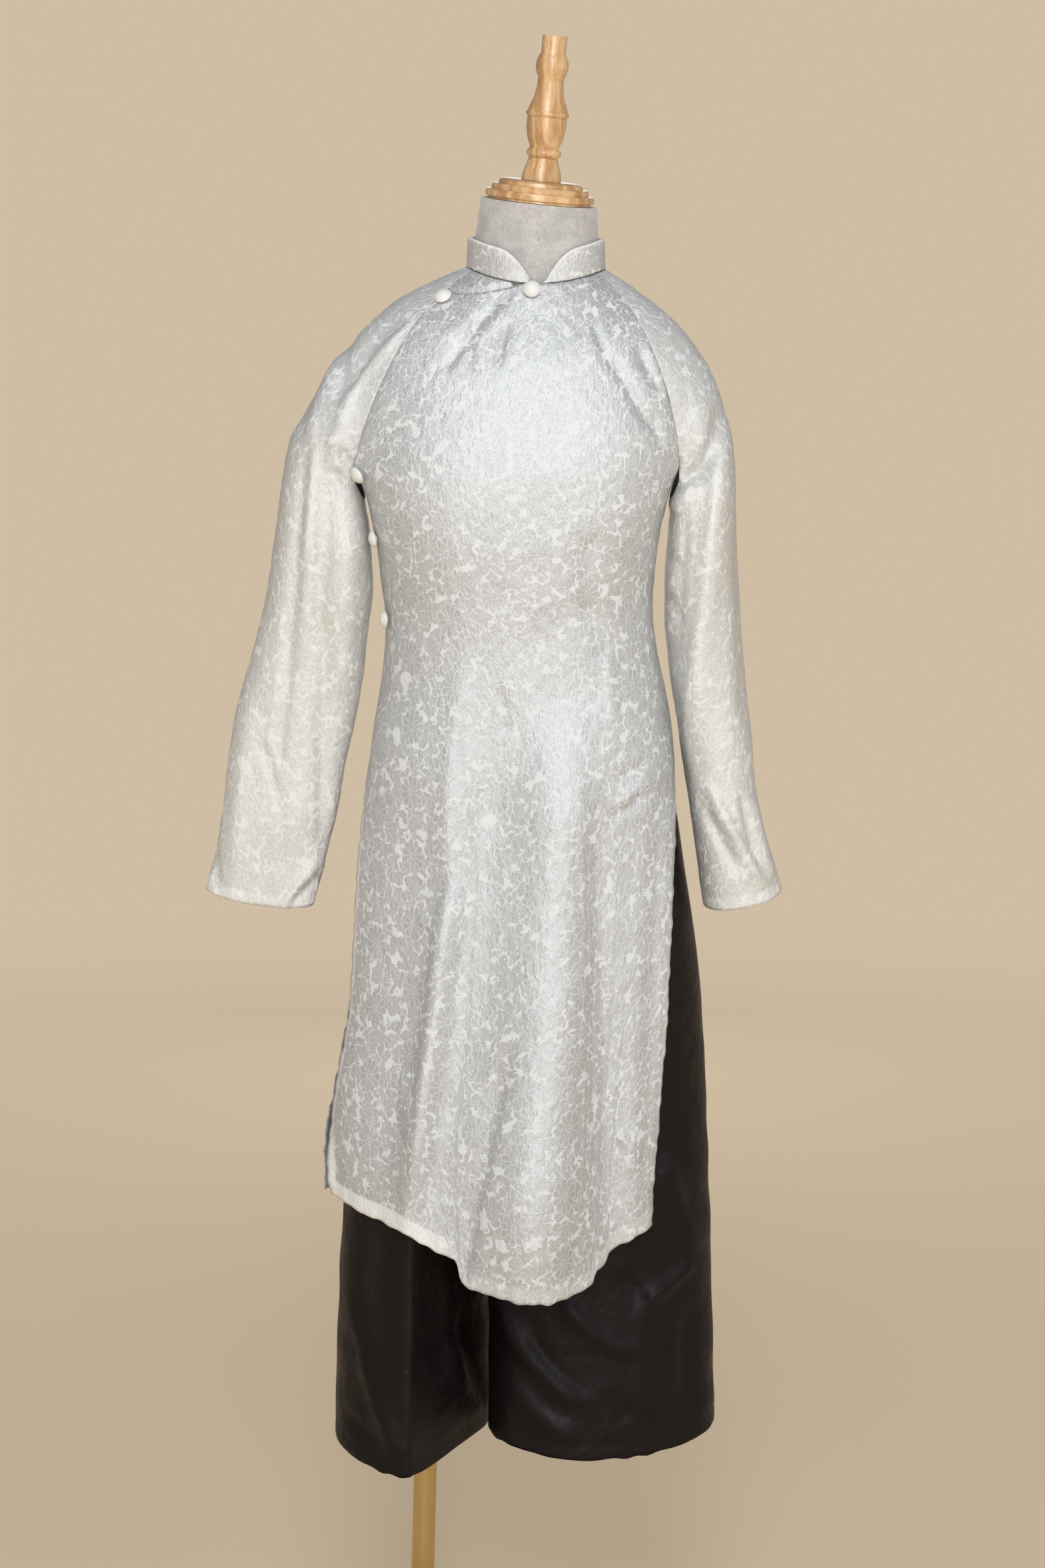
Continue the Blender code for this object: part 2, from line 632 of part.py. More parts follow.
def torso(surface):
    """The padded form: neck, shoulders just under the cloth, chest, waist and hips."""
    around = TORSO_SIDES
    angles = [2 * math.pi * i / around for i in range(around)]
    rings = []
    for share in (1.0, 0.45, 0.05):
        half_x = mix(NECK_FOOT[0], NECK_HALF[0], share)
        half_y = mix(NECK_FOOT[1], NECK_HALF[1], share)
        middle = Vector((NECK_X, -0.003, 1.535)).lerp(NECK_TOP, share)
        ring = []
        for angle in angles:
            x = -half_x * math.cos(angle)
            y = -half_y * math.sin(angle)
            z = (-math.tan(LEAN_SIDE) * x + math.tan(LEAN_FORWARD) * y) * share
            ring.append(middle + Vector((x, y, z)))
        rings.append(ring)
    for down in (0.0, 0.1, 0.2, 0.3, 0.4):
        ring = []
        for angle in angles:
            point = yoke_point(down, angle)
            next_down = yoke_point(down + 0.02, angle)
            next_round = yoke_point(down, angle + 0.02)
            inward = (next_round - point).cross(next_down - point).normalized()
            if inward.z > 0:
                inward.negate()
            near = abs(math.cos(angle)) ** 3 * ease(down / 0.1)
            ring.append(point + inward * mix(TORSO_PADDING, TORSO_CLEARANCE, near))
        rings.append(ring)
    for row in TORSO:
        ring = []
        for angle in angles:
            ahead = power(math.sin(angle), 2 / HIP_ROUND)
            depth = -row.front if ahead > 0 else row.back
            x = row.middle - row.half * power(math.cos(angle), 2 / HIP_ROUND)
            ring.append(Vector((x, -depth * ahead, row.z)))
        rings.append(ring)
    return solid("form_torso", rings, surface)


def lean_matrix(height):
    """The leaning axis of the neck, from a height along it."""
    turn = Matrix.Rotation(LEAN_SIDE, 4, "Y") @ Matrix.Rotation(LEAN_FORWARD, 4, "X")
    return Matrix.Translation(NECK_TOP) @ turn @ Matrix.Translation((0.0, 0.0, height))


def neck_cap(surface):
    """Three turned steps over a recessed plug."""
    profile = [(0.0, CAP_HEIGHT), (0.0400, CAP_HEIGHT), (0.0430, 0.0190), (0.0440, 0.0160),
               (0.0490, 0.0155), (0.0505, 0.0130), (0.0500, 0.0100), (0.0550, 0.0092),
               (0.0567, 0.0060), (0.0562, 0.0030), (0.0535, 0.0020), (0.0535, 0.0), (0.0, 0.0)]
    piece = turned("neck_cap", profile, surface, 28)
    piece.matrix_world = lean_matrix(CAP_SEAT)
    return piece


def finial(surface):
    """A turned handle: bowl, ring, vase, ring, taper, ball and spigot."""
    profile = [(0.0, 0.1460), (0.0125, 0.1460), (0.0128, 0.1440), (0.0127, 0.1280),
               (0.0145, 0.1255), (0.0165, 0.1200), (0.0169, 0.1140), (0.0155, 0.1080),
               (0.0134, 0.1040), (0.0136, 0.0960), (0.0158, 0.0840), (0.0195, 0.0750),
               (0.0206, 0.0712), (0.0221, 0.0690), (0.0221, 0.0655), (0.0207, 0.0625),
               (0.0203, 0.0520), (0.0187, 0.0430), (0.0155, 0.0350), (0.0152, 0.0330),
               (0.0175, 0.0310), (0.0182, 0.0280), (0.0170, 0.0245), (0.0150, 0.0230),
               (0.0172, 0.0160), (0.0195, 0.0090), (0.0206, 0.0030), (0.0206, 0.0), (0.0, 0.0)]
    piece = turned("finial", profile, surface, 20)
    piece.matrix_world = lean_matrix(CAP_SEAT + CAP_HEIGHT + PART_GAP)
    return piece


def pole(surface):
    """A brass tube, shown as a rod, that leans under the form's weight."""
    bpy.ops.mesh.primitive_cylinder_add(vertices=24, radius=POLE_RADIUS, depth=1.0)
    piece = bpy.context.object
    piece.name = "pole"
    bottom = BASE_THICKNESS + PART_GAP
    top = TORSO_FLOOR - PART_GAP
    for vertex in piece.data.vertices:
        z = mix(bottom, top, vertex.co.z + 0.5)
        vertex.co = (vertex.co.x + POLE_LEAN * z, vertex.co.y, z)
    piece.data.shade_smooth()
    piece.data.materials.append(surface)
    for group in piece.users_collection:
        group.objects.unlink(piece)
    bpy.data.collections[COLLECTION].objects.link(piece)
    return piece


def base_plate(surface):
    """A flat round plate with a short socket that holds the pole's foot."""
    bore = POLE_RADIUS + POLE_LEAN * SOCKET_HEIGHT + PART_GAP
    profile = [(0.0, BASE_THICKNESS), (bore, BASE_THICKNESS), (bore, SOCKET_HEIGHT),
               (SOCKET_RADIUS - 0.001, SOCKET_HEIGHT),
               (SOCKET_RADIUS, SOCKET_HEIGHT - 0.002), (SOCKET_RADIUS, BASE_THICKNESS + 0.002),
               (SOCKET_RADIUS + 0.004, BASE_THICKNESS), (BASE_RADIUS - 0.006, BASE_THICKNESS),
               (BASE_RADIUS - 0.002, BASE_THICKNESS - 0.002), (BASE_RADIUS, BASE_THICKNESS - 0.006),
               (BASE_RADIUS, 0.0), (0.0, 0.0)]
    return turned("base_plate", profile, surface, 40)


def button(row, surface):
    """A round cloth-covered button, domed on a short shank, square to the front's cloth."""
    step = 0.004
    point = panel_point(row.across, row.down, 1)
    sideways = panel_point(row.across + step, row.down, 1) - point
    downwards = panel_point(row.across, row.down + step, 1) - point
    outward = downwards.cross(sideways).normalized()
    if outward.y > 0:
        outward.negate()
    profile = [(0.0, BUTTON_DEPTH)]
    for number in range(1, 4):
        angle = math.radians(90 - 22.5 * number)
        profile.append((BUTTON_RADIUS * math.cos(angle),
                        BUTTON_SKIRT + (BUTTON_DEPTH - BUTTON_SKIRT) * math.sin(angle)))
    profile += [(BUTTON_RADIUS, BUTTON_SKIRT - 0.0002), (BUTTON_RADIUS - 0.0012, 0.0018),
                (SHANK_RADIUS, 0.0014), (SHANK_RADIUS, 0.0), (0.0, 0.0)]
    piece = turned(row.name, profile, surface, 14)
    start = point + outward * (WALL / 2 + PART_GAP + row.lift)
    turn = outward.to_track_quat("Z", "Y").to_matrix().to_4x4()
    piece.matrix_world = Matrix.Translation(start) @ turn
    return piece


def build():
    for leftover in list(bpy.data.objects):
        bpy.data.objects.remove(leftover)
    group = bpy.data.collections.new(COLLECTION)
    bpy.context.scene.collection.children.link(group)
    silk = material("ivory_silk", (0.80, 0.79, 0.76), 0.45)
    satin = material("black_satin", (0.012, 0.010, 0.010), 0.35)
    cover = material("form_cover", (0.55, 0.52, 0.50), 0.95)
    wood = material("turned_wood", (0.66, 0.42, 0.22), 0.40)
    brass = material("brass", (0.45, 0.30, 0.11), 0.30, 1.0)
    iron = material("base_enamel", (0.05, 0.045, 0.04), 0.45, 0.3)

    panel("front_panel", 1, 24, 16, silk)
    panel("back_panel", -1, 18, 14, silk)
    underlap(silk)
    collar(silk)
    cloth("sleeve_right", sleeve_rows("right", 14, 4, 8, 11), silk)
    cloth("sleeve_left", sleeve_rows("left", 14, 4, 8, 11), silk)
    for row in BUTTONS:
        button(row, silk)
    cloth("trouser_leg_right", leg_rows("right", 18, 5, 5, 8), satin)
    cloth("trouser_leg_left", leg_rows("left", 18, 5, 5, 8), satin)
    waistband(satin)
    torso(cover)
    neck_cap(wood)
    finial(wood)
    pole(brass)
    base_plate(iron)


build()
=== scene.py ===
"""Looks of an ao dai on a dress form: silk jacquard tunic, satin trousers, turned wood and brass.

Metres, +Z up. The front faces -Y and +X is the wearer's left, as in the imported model.
"""
import math
from collections import namedtuple

import bmesh
import bpy
import numpy as np
from mathutils import Matrix, Vector


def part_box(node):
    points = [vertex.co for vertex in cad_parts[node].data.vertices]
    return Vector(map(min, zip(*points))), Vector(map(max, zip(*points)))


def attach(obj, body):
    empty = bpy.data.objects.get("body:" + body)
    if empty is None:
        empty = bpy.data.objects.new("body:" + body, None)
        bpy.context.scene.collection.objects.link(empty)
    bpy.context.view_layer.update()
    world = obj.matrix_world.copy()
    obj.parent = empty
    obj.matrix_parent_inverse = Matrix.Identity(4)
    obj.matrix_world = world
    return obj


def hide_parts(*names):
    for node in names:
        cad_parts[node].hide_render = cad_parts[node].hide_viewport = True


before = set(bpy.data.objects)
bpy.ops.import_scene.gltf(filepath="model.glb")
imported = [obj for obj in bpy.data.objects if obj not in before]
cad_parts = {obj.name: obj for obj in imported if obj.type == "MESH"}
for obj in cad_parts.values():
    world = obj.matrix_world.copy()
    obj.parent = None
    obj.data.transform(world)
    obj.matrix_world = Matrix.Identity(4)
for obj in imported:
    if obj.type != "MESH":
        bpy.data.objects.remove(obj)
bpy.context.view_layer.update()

# Studio: a plain pale floor, a pale beige surround and five soft lamps. A tall narrow lamp in
# front, with one above it, lays a bright band on the silk. The camera is at chest height and looks
# slightly down.
scene = bpy.context.scene
scene.view_settings.view_transform = "Standard"


def put(tree, kind, settings=None, **inputs):
    """Adds a shader node. Inputs are values or other nodes' outputs, by name or _number."""
    node = tree.nodes.new("ShaderNode" + kind)
    for name, value in (settings or {}).items():
        setattr(node, name, value)
    for name, value in inputs.items():
        key = int(name[1:]) if name.startswith("_") else name.replace("_", " ")
        socket = node.inputs[key]
        if isinstance(value, bpy.types.NodeSocket):
            tree.links.new(value, socket)
        else:
            socket.default_value = value
    return node


def math_node(tree, operation, first, second=0.5, third=0.5):
    return put(tree, "Math", {"operation": operation}, _0=first, _1=second,
               _2=third).outputs[0]


def fade(tree, value, low, high, start=0.0, end=1.0):
    """A smooth step of a value from low to high, put out from start to end."""
    return put(tree, "MapRange", {"interpolation_type": "SMOOTHSTEP"}, _0=value,
               _1=low, _2=high, _3=start, _4=end).outputs[0]


def blend_color(tree, share, first, second):
    node = put(tree, "Mix", {"data_type": "RGBA"})
    for socket, value in ((node.inputs[0], share), (node.inputs[6], first),
                          (node.inputs[7], second)):
        if isinstance(value, bpy.types.NodeSocket):
            tree.links.new(value, socket)
        else:
            socket.default_value = value
    return node.outputs[2]


def finish_named(name, roughness=0.5, metallic=0.0):
    """A new material and its shader."""
    made = bpy.data.materials.new(name)
    made.use_nodes = True
    shader = made.node_tree.nodes["Principled BSDF"]
    shader.inputs["Roughness"].default_value = roughness
    shader.inputs["Metallic"].default_value = metallic
    return made, made.node_tree, shader


def piece_of(name, shape):
    """An object at the origin from a finished bmesh."""
    mesh = bpy.data.meshes.new(name)
    shape.to_mesh(mesh)
    shape.free()
    mesh.shade_smooth()
    piece = bpy.data.objects.new(name, mesh)
    scene.collection.objects.link(piece)
    return piece


BLACK = (0.0, 0.0, 0.0, 1.0)
SEEN_BEIGE = (0.622, 0.512, 0.372, 1.0)
AMBIENT = (0.625, 0.62, 0.61, 1.0)
AMBIENT_STRENGTH = 0.39
world = bpy.data.worlds.new("studio")
world.use_nodes = True
scene.world = world
tree = world.node_tree
ambient = tree.nodes["Background"]
ambient.inputs["Color"].default_value = AMBIENT
ambient.inputs["Strength"].default_value = AMBIENT_STRENGTH
backdrop = put(tree, "Background", Color=SEEN_BEIGE)
seen = put(tree, "MixShader", _0=put(tree, "LightPath").outputs["Is Camera Ray"],
           _1=ambient.outputs[0], _2=backdrop.outputs[0])
tree.links.new(seen.outputs[0], tree.nodes["World Output"].inputs["Surface"])

FLOOR_REACH = 40.0
FLOOR_DROP = 0.0008
FLOOR_FADE = (0.5, 5.0)
FLOOR_BEIGE = (0.53, 0.42, 0.30, 1.0)
FLOOR_GLOW = (0.23, 0.185, 0.13, 1.0)
floor_shape = bmesh.new()
bmesh.ops.create_grid(floor_shape, x_segments=1, y_segments=1, size=FLOOR_REACH,
                      matrix=Matrix.Translation((0.0, 0.0, -FLOOR_DROP)))
floor = piece_of("floor", floor_shape)
floor_paint, tree, paint = finish_named("pale_floor", 1.0)
paint.inputs["Specular IOR Level"].default_value = 0.0
paint.inputs["Emission Strength"].default_value = 1.0
place = put(tree, "TexCoord").outputs["Object"]
far = put(tree, "VectorMath", {"operation": "LENGTH"}, _0=place).outputs["Value"]
far = fade(tree, far, *FLOOR_FADE)
tree.links.new(blend_color(tree, far, FLOOR_BEIGE, BLACK), paint.inputs["Base Color"])
tree.links.new(blend_color(tree, far, FLOOR_GLOW, SEEN_BEIGE), paint.inputs["Emission Color"])
floor.data.materials.append(floor_paint)

Lamp = namedtuple("Lamp", "name at aim size height watts color")
LAMPS = [
    Lamp("key", (0.10, -3.75, 1.52), (0.11, 0.0, 1.10), 0.6, 2.6, 52, (0.93, 0.97, 1.0)),
    Lamp("top", (0.10, -2.7, 3.15), (0.11, 0.0, 1.30), 1.2, 1.7, 47, (0.94, 0.98, 1.0)),
    Lamp("fill", (2.7, -1.9, 1.7), (0.12, 0.0, 1.00), 1.6, 1.6, 16, (0.98, 0.98, 0.97)),
    Lamp("side", (-2.7, -1.5, 1.7), (0.10, 0.0, 1.00), 1.6, 1.6, 6, (1.0, 0.97, 0.93)),
    Lamp("back", (0.10, 3.4, 1.45), (0.10, 0.0, 1.05), 1.2, 1.8, 20, (1.0, 0.98, 0.95)),
]
for row in LAMPS:
    light = bpy.data.lights.new(row.name, "AREA")
    light.shape = "RECTANGLE"
    light.size = row.size
    light.size_y = row.height
    light.energy = row.watts
    light.color = row.color
    lamp = bpy.data.objects.new(row.name, light)
    lamp.location = row.at
    lamp.rotation_euler = (Vector(row.aim) - Vector(row.at)).to_track_quat("-Z", "Y").to_euler()
    scene.collection.objects.link(lamp)

CAMERA_AT = (0.1125, -3.2, 1.40)
CAMERA_PITCH = math.radians(82.611)
CAMERA_LENS = 70.0
view = bpy.data.cameras.new("camera")
view.lens = CAMERA_LENS
view.sensor_width = 36.0
camera = bpy.data.objects.new("camera", view)
camera.location = CAMERA_AT
camera.rotation_euler = (CAMERA_PITCH, 0.0, 0.0)
scene.collection.objects.link(camera)
scene.camera = camera


# Dress form: a padded body under a close grey nap cover, which shows at the neck. The body under
# the tunic keeps the same smooth shape, a little inside the cloth.
Yoke = namedtuple("Yoke", "down right right_z left left_z front front_z back back_z seam")
YOKE = [
    Yoke(0.0, 0.0545, 1.5240, 0.1985, 1.5220, -0.068, 1.506, 0.062, 1.536, 0.900),
    Yoke(0.2, 0.0130, 1.5080, 0.2340, 1.4985, -0.083, 1.470, 0.079, 1.502, 0.846),
    Yoke(0.4, -0.0300, 1.4840, 0.2680, 1.4740, -0.101, 1.430, 0.093, 1.466, 0.800),
    Yoke(0.6, -0.0700, 1.4490, 0.2990, 1.4500, -0.114, 1.390, 0.104, 1.426, 0.773),
    Yoke(0.8, -0.0960, 1.4050, 0.3180, 1.4130, -0.121, 1.350, 0.110, 1.386, 0.760),
    Yoke(1.0, -0.1210, 1.3480, 0.3250, 1.3560, -0.124, 1.308, 0.113, 1.342, 0.720),
]
Torso = namedtuple("Torso", "z middle half front back")
TORSO = [
    Torso(1.415, 0.1150, 0.160, -0.094, 0.088),
    Torso(1.370, 0.1110, 0.158, -0.107, 0.098),
    Torso(1.300, 0.1070, 0.149, -0.112, 0.100),
    Torso(1.230, 0.1075, 0.140, -0.108, 0.093),
    Torso(1.160, 0.1090, 0.132, -0.099, 0.090),
    Torso(1.115, 0.1110, 0.129, -0.095, 0.090),
    Torso(1.080, 0.1110, 0.130, -0.094, 0.090),
    Torso(1.030, 0.1120, 0.139, -0.098, 0.095),
    Torso(0.980, 0.1110, 0.148, -0.102, 0.100),
    Torso(0.910, 0.1080, 0.148, -0.100, 0.100),
    Torso(0.860, 0.1060, 0.144, -0.096, 0.096),
]
NECK_X = 0.1265
NECK_TOP = Vector((0.1295, -0.004, 1.5905))
NECK_HALF = (0.0600, 0.0545)
NECK_FOOT = (0.0655, 0.0570)
LEAN_SIDE = math.radians(5.6)
LEAN_FORWARD = math.radians(6.0)
HIP_ROUND = 2.3
TORSO_CLEARANCE = 0.0050
TORSO_PADDING = 0.0080
NECK_BASE = Vector((NECK_X, -0.003, 1.535))


def ease(value):
    """A smooth step from 0 to 1."""
    value = np.clip(value, 0.0, 1.0)
    return value * value * (3.0 - 2.0 * value)


def mix(start, end, share):
    return start + (end - start) * share


def power(value, exponent):
    """A power that keeps the sign."""
    return np.sign(value) * np.abs(value) ** exponent


def read(table, at):
    """The table's columns at values of its first one, smooth between the rows."""
    rows = sorted(table, key=lambda row: row[0])
    knots = np.array([row[0] for row in rows])
    last = len(knots) - 1
    at = np.clip(np.asarray(at, float), knots[0], knots[-1])
    low = np.clip(np.searchsorted(knots, at, side="right") - 1, 0, last - 1)
    span = knots[low + 1] - knots[low]
    share = (at - knots[low]) / span
    columns = [at]
    for values in np.array([row[1:] for row in rows], float).T:
        before = np.maximum(np.arange(last + 1) - 1, 0)
        after = np.minimum(np.arange(last + 1) + 1, last)
        slopes = (values[after] - values[before]) / (knots[after] - knots[before])
        cube = share ** 3
        square = share ** 2
        columns.append((2 * cube - 3 * square + 1) * values[low]
                       + (cube - 2 * square + share) * slopes[low] * span
                       + (3 * square - 2 * cube) * values[low + 1]
                       + (cube - square) * slopes[low + 1] * span)
    return type(table[0])(*columns)


def at_point(x, y, z):
    return np.stack(np.broadcast_arrays(x, y, z), axis=-1)


def yoke_point(down, angle):
    """A point on the yoke. The angle is 0 on the right shoulder and 90 degrees at the front."""
    ring = read(YOKE, down)
    middle = (ring.right + ring.left) / 2
    half = (ring.left - ring.right) / 2
    roundness = mix(2.0, 2.5, down)
    side = power(np.cos(angle), 2 / roundness)
    ahead = power(np.sin(angle), 2 / roundness)
    depth = np.where(ahead > 0, -ring.front, ring.back)
    middle_z = np.where(ahead > 0, ring.front_z, ring.back_z)
    side_z = np.where(side > 0, ring.right_z, ring.left_z)
    z = mix(middle_z, side_z, np.abs(side) ** 2.2)
    return at_point(middle - half * side, -depth * ahead, z)


def normals_of(points):
    """Unit normals of a grid of points, from its rows and columns."""
    along = np.gradient(points, axis=1)
    down = np.gradient(points, axis=0)
    across = np.cross(down, along)
    return across / np.maximum(np.linalg.norm(across, axis=-1, keepdims=True), 1e-9)


def loft(name, points, closed=False, cap=False):
    """A surface through a grid of points. It closes into a tube, and may get flat end caps."""
    rows, columns = points.shape[:2]
    shape = bmesh.new()
    lines = [[shape.verts.new(point) for point in row] for row in points]
    edges = []
    for line in lines:
        pairs = zip(line, line[1:] + line[:1] if closed else line[1:])
        edges.append([shape.edges.new(pair) for pair in pairs])
    for upper, lower in zip(edges, edges[1:]):
        bmesh.ops.bridge_loops(shape, edges=upper + lower)
    if cap:
        bmesh.ops.holes_fill(shape, edges=shape.edges, sides=0)
    bmesh.ops.recalc_face_normals(shape, faces=shape.faces)
    return piece_of(name, shape)


def form_rings(around, yoke_steps, body_steps):
    """Rings of the padded form, from the top of the neck to the hips."""
    angles = np.linspace(0.0, 2 * math.pi, around, endpoint=False)
    rings = []
    for share in np.linspace(1.0, 0.05, 10):
        half_x = mix(NECK_FOOT[0], NECK_HALF[0], share)
        half_y = mix(NECK_FOOT[1], NECK_HALF[1], share)
        middle = NECK_BASE.lerp(NECK_TOP, share)
        x = -half_x * np.cos(angles)
        y = -half_y * np.sin(angles)
        z = (-math.tan(LEAN_SIDE) * x + math.tan(LEAN_FORWARD) * y) * share
        rings.append(np.stack([middle.x + x, middle.y + y, middle.z + z], axis=-1))
    for down in np.linspace(0.0, 0.4, yoke_steps):
        point = yoke_point(down, angles)
        below = yoke_point(down + 0.02, angles) - point
        beside = yoke_point(down, angles + 0.02) - point
        inward = np.cross(beside, below)
        inward /= np.linalg.norm(inward, axis=-1, keepdims=True)
        inward *= np.where(inward[:, 2:] > 0, -1.0, 1.0)
        near = np.abs(np.cos(angles)) ** 3 * ease(down / 0.1)
        rings.append(point + inward * mix(TORSO_PADDING, TORSO_CLEARANCE, near)[:, None])
    for z in np.linspace(TORSO[0].z, TORSO[-1].z, body_steps):
        row = read(TORSO, z)
        ahead = power(np.sin(angles), 2 / HIP_ROUND)
        depth = np.where(ahead > 0, -row.front, row.back)
        x = row.middle - row.half * power(np.cos(angles), 2 / HIP_ROUND)
        rings.append(at_point(x, -depth * ahead, row.z))
    return np.array(rings)


def roughen(tree, shader, height, strength, distance):
    """Bump on a shader, from a height that varies over the surface."""
    bump = put(tree, "Bump", Strength=strength, Distance=distance, Height=height)
    tree.links.new(bump.outputs[0], shader.inputs["Normal"])


NAP_LIGHT = (0.565, 0.535, 0.51, 1.0)
NAP_DARK = (0.40, 0.38, 0.365, 1.0)
nap, tree, shader = finish_named("grey_nap", 0.95)
place = put(tree, "TexCoord").outputs["Object"]
combed = put(tree, "Mapping", _0=place)
combed.inputs["Scale"].default_value = (1.0, 1.0, 0.35)
hairs = put(tree, "TexNoise", Vector=combed.outputs[0], Scale=900.0, Detail=3.0)
clouds = put(tree, "TexNoise", Vector=place, Scale=60.0, Detail=2.0)
shade = math_node(tree, "MULTIPLY_ADD", hairs.outputs["Fac"], 0.6,
                  math_node(tree, "MULTIPLY", clouds.outputs["Fac"], 0.4))
tree.links.new(blend_color(tree, fade(tree, shade, 0.35, 0.65), NAP_DARK, NAP_LIGHT),
               shader.inputs["Base Color"])
roughen(tree, shader, hairs.outputs["Fac"], 0.5, 0.0004)
shader.inputs["Sheen Weight"].default_value = 0.35
shader.inputs["Sheen Roughness"].default_value = 0.5

form = loft("padded_form", form_rings(96, 16, 60), closed=True, cap=True)
form.data.set_sharp_from_angle(angle=math.radians(50))
form.data.materials.append(nap)
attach(form, "root")
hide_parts("form_torso")


# Neck cap and finial: beech turned on a lathe and varnished. The cap has three steps, and the
# finial screws into it, so both lean with the neck.
CAP_HEIGHT = 0.021
CAP_PROFILE = [(0.0, CAP_HEIGHT), (0.0400, CAP_HEIGHT), (0.0430, 0.0195), (0.0442, 0.0160),
               (0.0490, 0.0156), (0.0508, 0.0135), (0.0502, 0.0100), (0.0550, 0.0094),
               (0.0568, 0.0065), (0.0563, 0.0030), (0.0535, 0.0018), (0.0535, 0.0), (0.0, 0.0)]
CAP_GAP = 0.0006
FINIAL_GAP = 0.0009
FINIAL_PROFILE = [
    (0.0, 0.1460), (0.0118, 0.1460), (0.0128, 0.1446), (0.0127, 0.1280), (0.0145, 0.1255),
    (0.0165, 0.1200), (0.0169, 0.1140), (0.0155, 0.1080), (0.0134, 0.1040), (0.0136, 0.0960),
    (0.0158, 0.0840), (0.0195, 0.0750), (0.0204, 0.0718), (0.0206, 0.0706), (0.0221, 0.0690),
    (0.0223, 0.0672), (0.0219, 0.0655), (0.0206, 0.0640), (0.0207, 0.0625), (0.0203, 0.0520),
    (0.0187, 0.0430), (0.0155, 0.0350), (0.0152, 0.0330), (0.0175, 0.0310), (0.0182, 0.0280),
    (0.0170, 0.0245), (0.0150, 0.0230), (0.0172, 0.0160), (0.0195, 0.0090), (0.0206, 0.0030),
    (0.0206, 0.0), (0.0, 0.0)]
LEAN = (Matrix.Translation(NECK_TOP) @ Matrix.Rotation(LEAN_SIDE, 4, "Y")
        @ Matrix.Rotation(LEAN_FORWARD, 4, "X"))
TURNING_STEPS = 72


def turned(name, profile, matrix, steps=TURNING_STEPS):
    """A turned piece: a profile of (radius, height) spun about its axis, then set in place."""
    shape = bmesh.new()
    points = [shape.verts.new((radius, 0.0, height)) for radius, height in profile]
    outline = [shape.edges.new(pair) for pair in zip(points, points[1:])]
    bmesh.ops.spin(shape, geom=points + outline, axis=(0, 0, 1), cent=(0, 0, 0),
                   angle=2 * math.pi, steps=steps, use_merge=True)
    bmesh.ops.remove_doubles(shape, verts=shape.verts, dist=0.00002)
    bmesh.ops.recalc_face_normals(shape, faces=shape.faces)
    bmesh.ops.transform(shape, matrix=matrix, verts=shape.verts)
    piece = piece_of(name, shape)
    piece.data.set_sharp_from_angle(angle=math.radians(40))
    return piece


WOOD_LIGHT = (0.72, 0.47, 0.24, 1.0)
WOOD_DARK = (0.47, 0.25, 0.10, 1.0)
WOOD_PORE = (0.28, 0.13, 0.05, 1.0)


def wood(name, grain_turn):
    """Varnished beech with its grain along the piece's own axis."""
    made, tree, shader = finish_named(name, 0.34)
    place = put(tree, "TexCoord").outputs["Object"]
    laid = put(tree, "Mapping", _0=place)
    laid.inputs["Location"].default_value = (-0.128, 0.0, 0.0)
    laid.inputs["Rotation"].default_value = grain_turn
    laid.inputs["Scale"].default_value = (1.0, 1.0, 0.12)
    rings = put(tree, "TexNoise", Vector=laid.outputs[0], Scale=70.0, Detail=4.0,
                Distortion=1.2)
    pores = put(tree, "TexNoise", Vector=laid.outputs[0], Scale=900.0, Detail=1.0)
    color = blend_color(tree, fade(tree, rings.outputs["Fac"], 0.35, 0.65), WOOD_DARK, WOOD_LIGHT)
    flecks = fade(tree, pores.outputs["Fac"], 0.60, 0.70, 0.0, 0.55)
    tree.links.new(blend_color(tree, flecks, color, WOOD_PORE), shader.inputs["Base Color"])
    roughen(tree, shader, pores.outputs["Fac"], 0.25, 0.0002)
    shader.inputs["Coat Weight"].default_value = 0.35
    shader.inputs["Coat Roughness"].default_value = 0.18
    return made


cap = turned("turned_cap", CAP_PROFILE, LEAN @ Matrix.Translation((0.0, 0.0, CAP_GAP)))
cap.data.materials.append(wood("beech_across", (0.0, math.radians(90), 0.0)))
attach(cap, "root")
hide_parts("neck_cap")
handle = turned("turned_finial", FINIAL_PROFILE,
                LEAN @ Matrix.Translation((0.0, 0.0, FINIAL_GAP + CAP_HEIGHT)))
handle.data.materials.append(wood("beech_along", (0.0, LEAN_SIDE, 0.0)))
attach(handle, "root")
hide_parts("finial")


# Pole and base: a polished brass tube that leans a little under the form's weight, in the short
# socket of a round steel plate with dark satin enamel.
POLE_RADIUS = 0.0125
POLE_LEAN = 0.028
BRASS_DEEP = (0.52, 0.36, 0.14, 1.0)
BRASS_LIGHT = (0.72, 0.54, 0.26, 1.0)
pole_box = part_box("pole")
brass, tree, shader = finish_named("polished_brass", 0.24, 1.0)
place = put(tree, "TexCoord").outputs["Object"]
drawn = put(tree, "Mapping", _0=place)
drawn.inputs["Scale"].default_value = (1.0, 1.0, 0.02)
lines = put(tree, "TexNoise", Vector=drawn.outputs[0], Scale=900.0, Detail=2.0)
smears = put(tree, "TexNoise", Vector=place, Scale=22.0, Detail=4.0)
tree.links.new(blend_color(tree, smears.outputs["Fac"], BRASS_DEEP, BRASS_LIGHT),
               shader.inputs["Base Color"])
tree.links.new(fade(tree, lines.outputs["Fac"], 0.3, 0.7, 0.18, 0.34), shader.inputs["Roughness"])
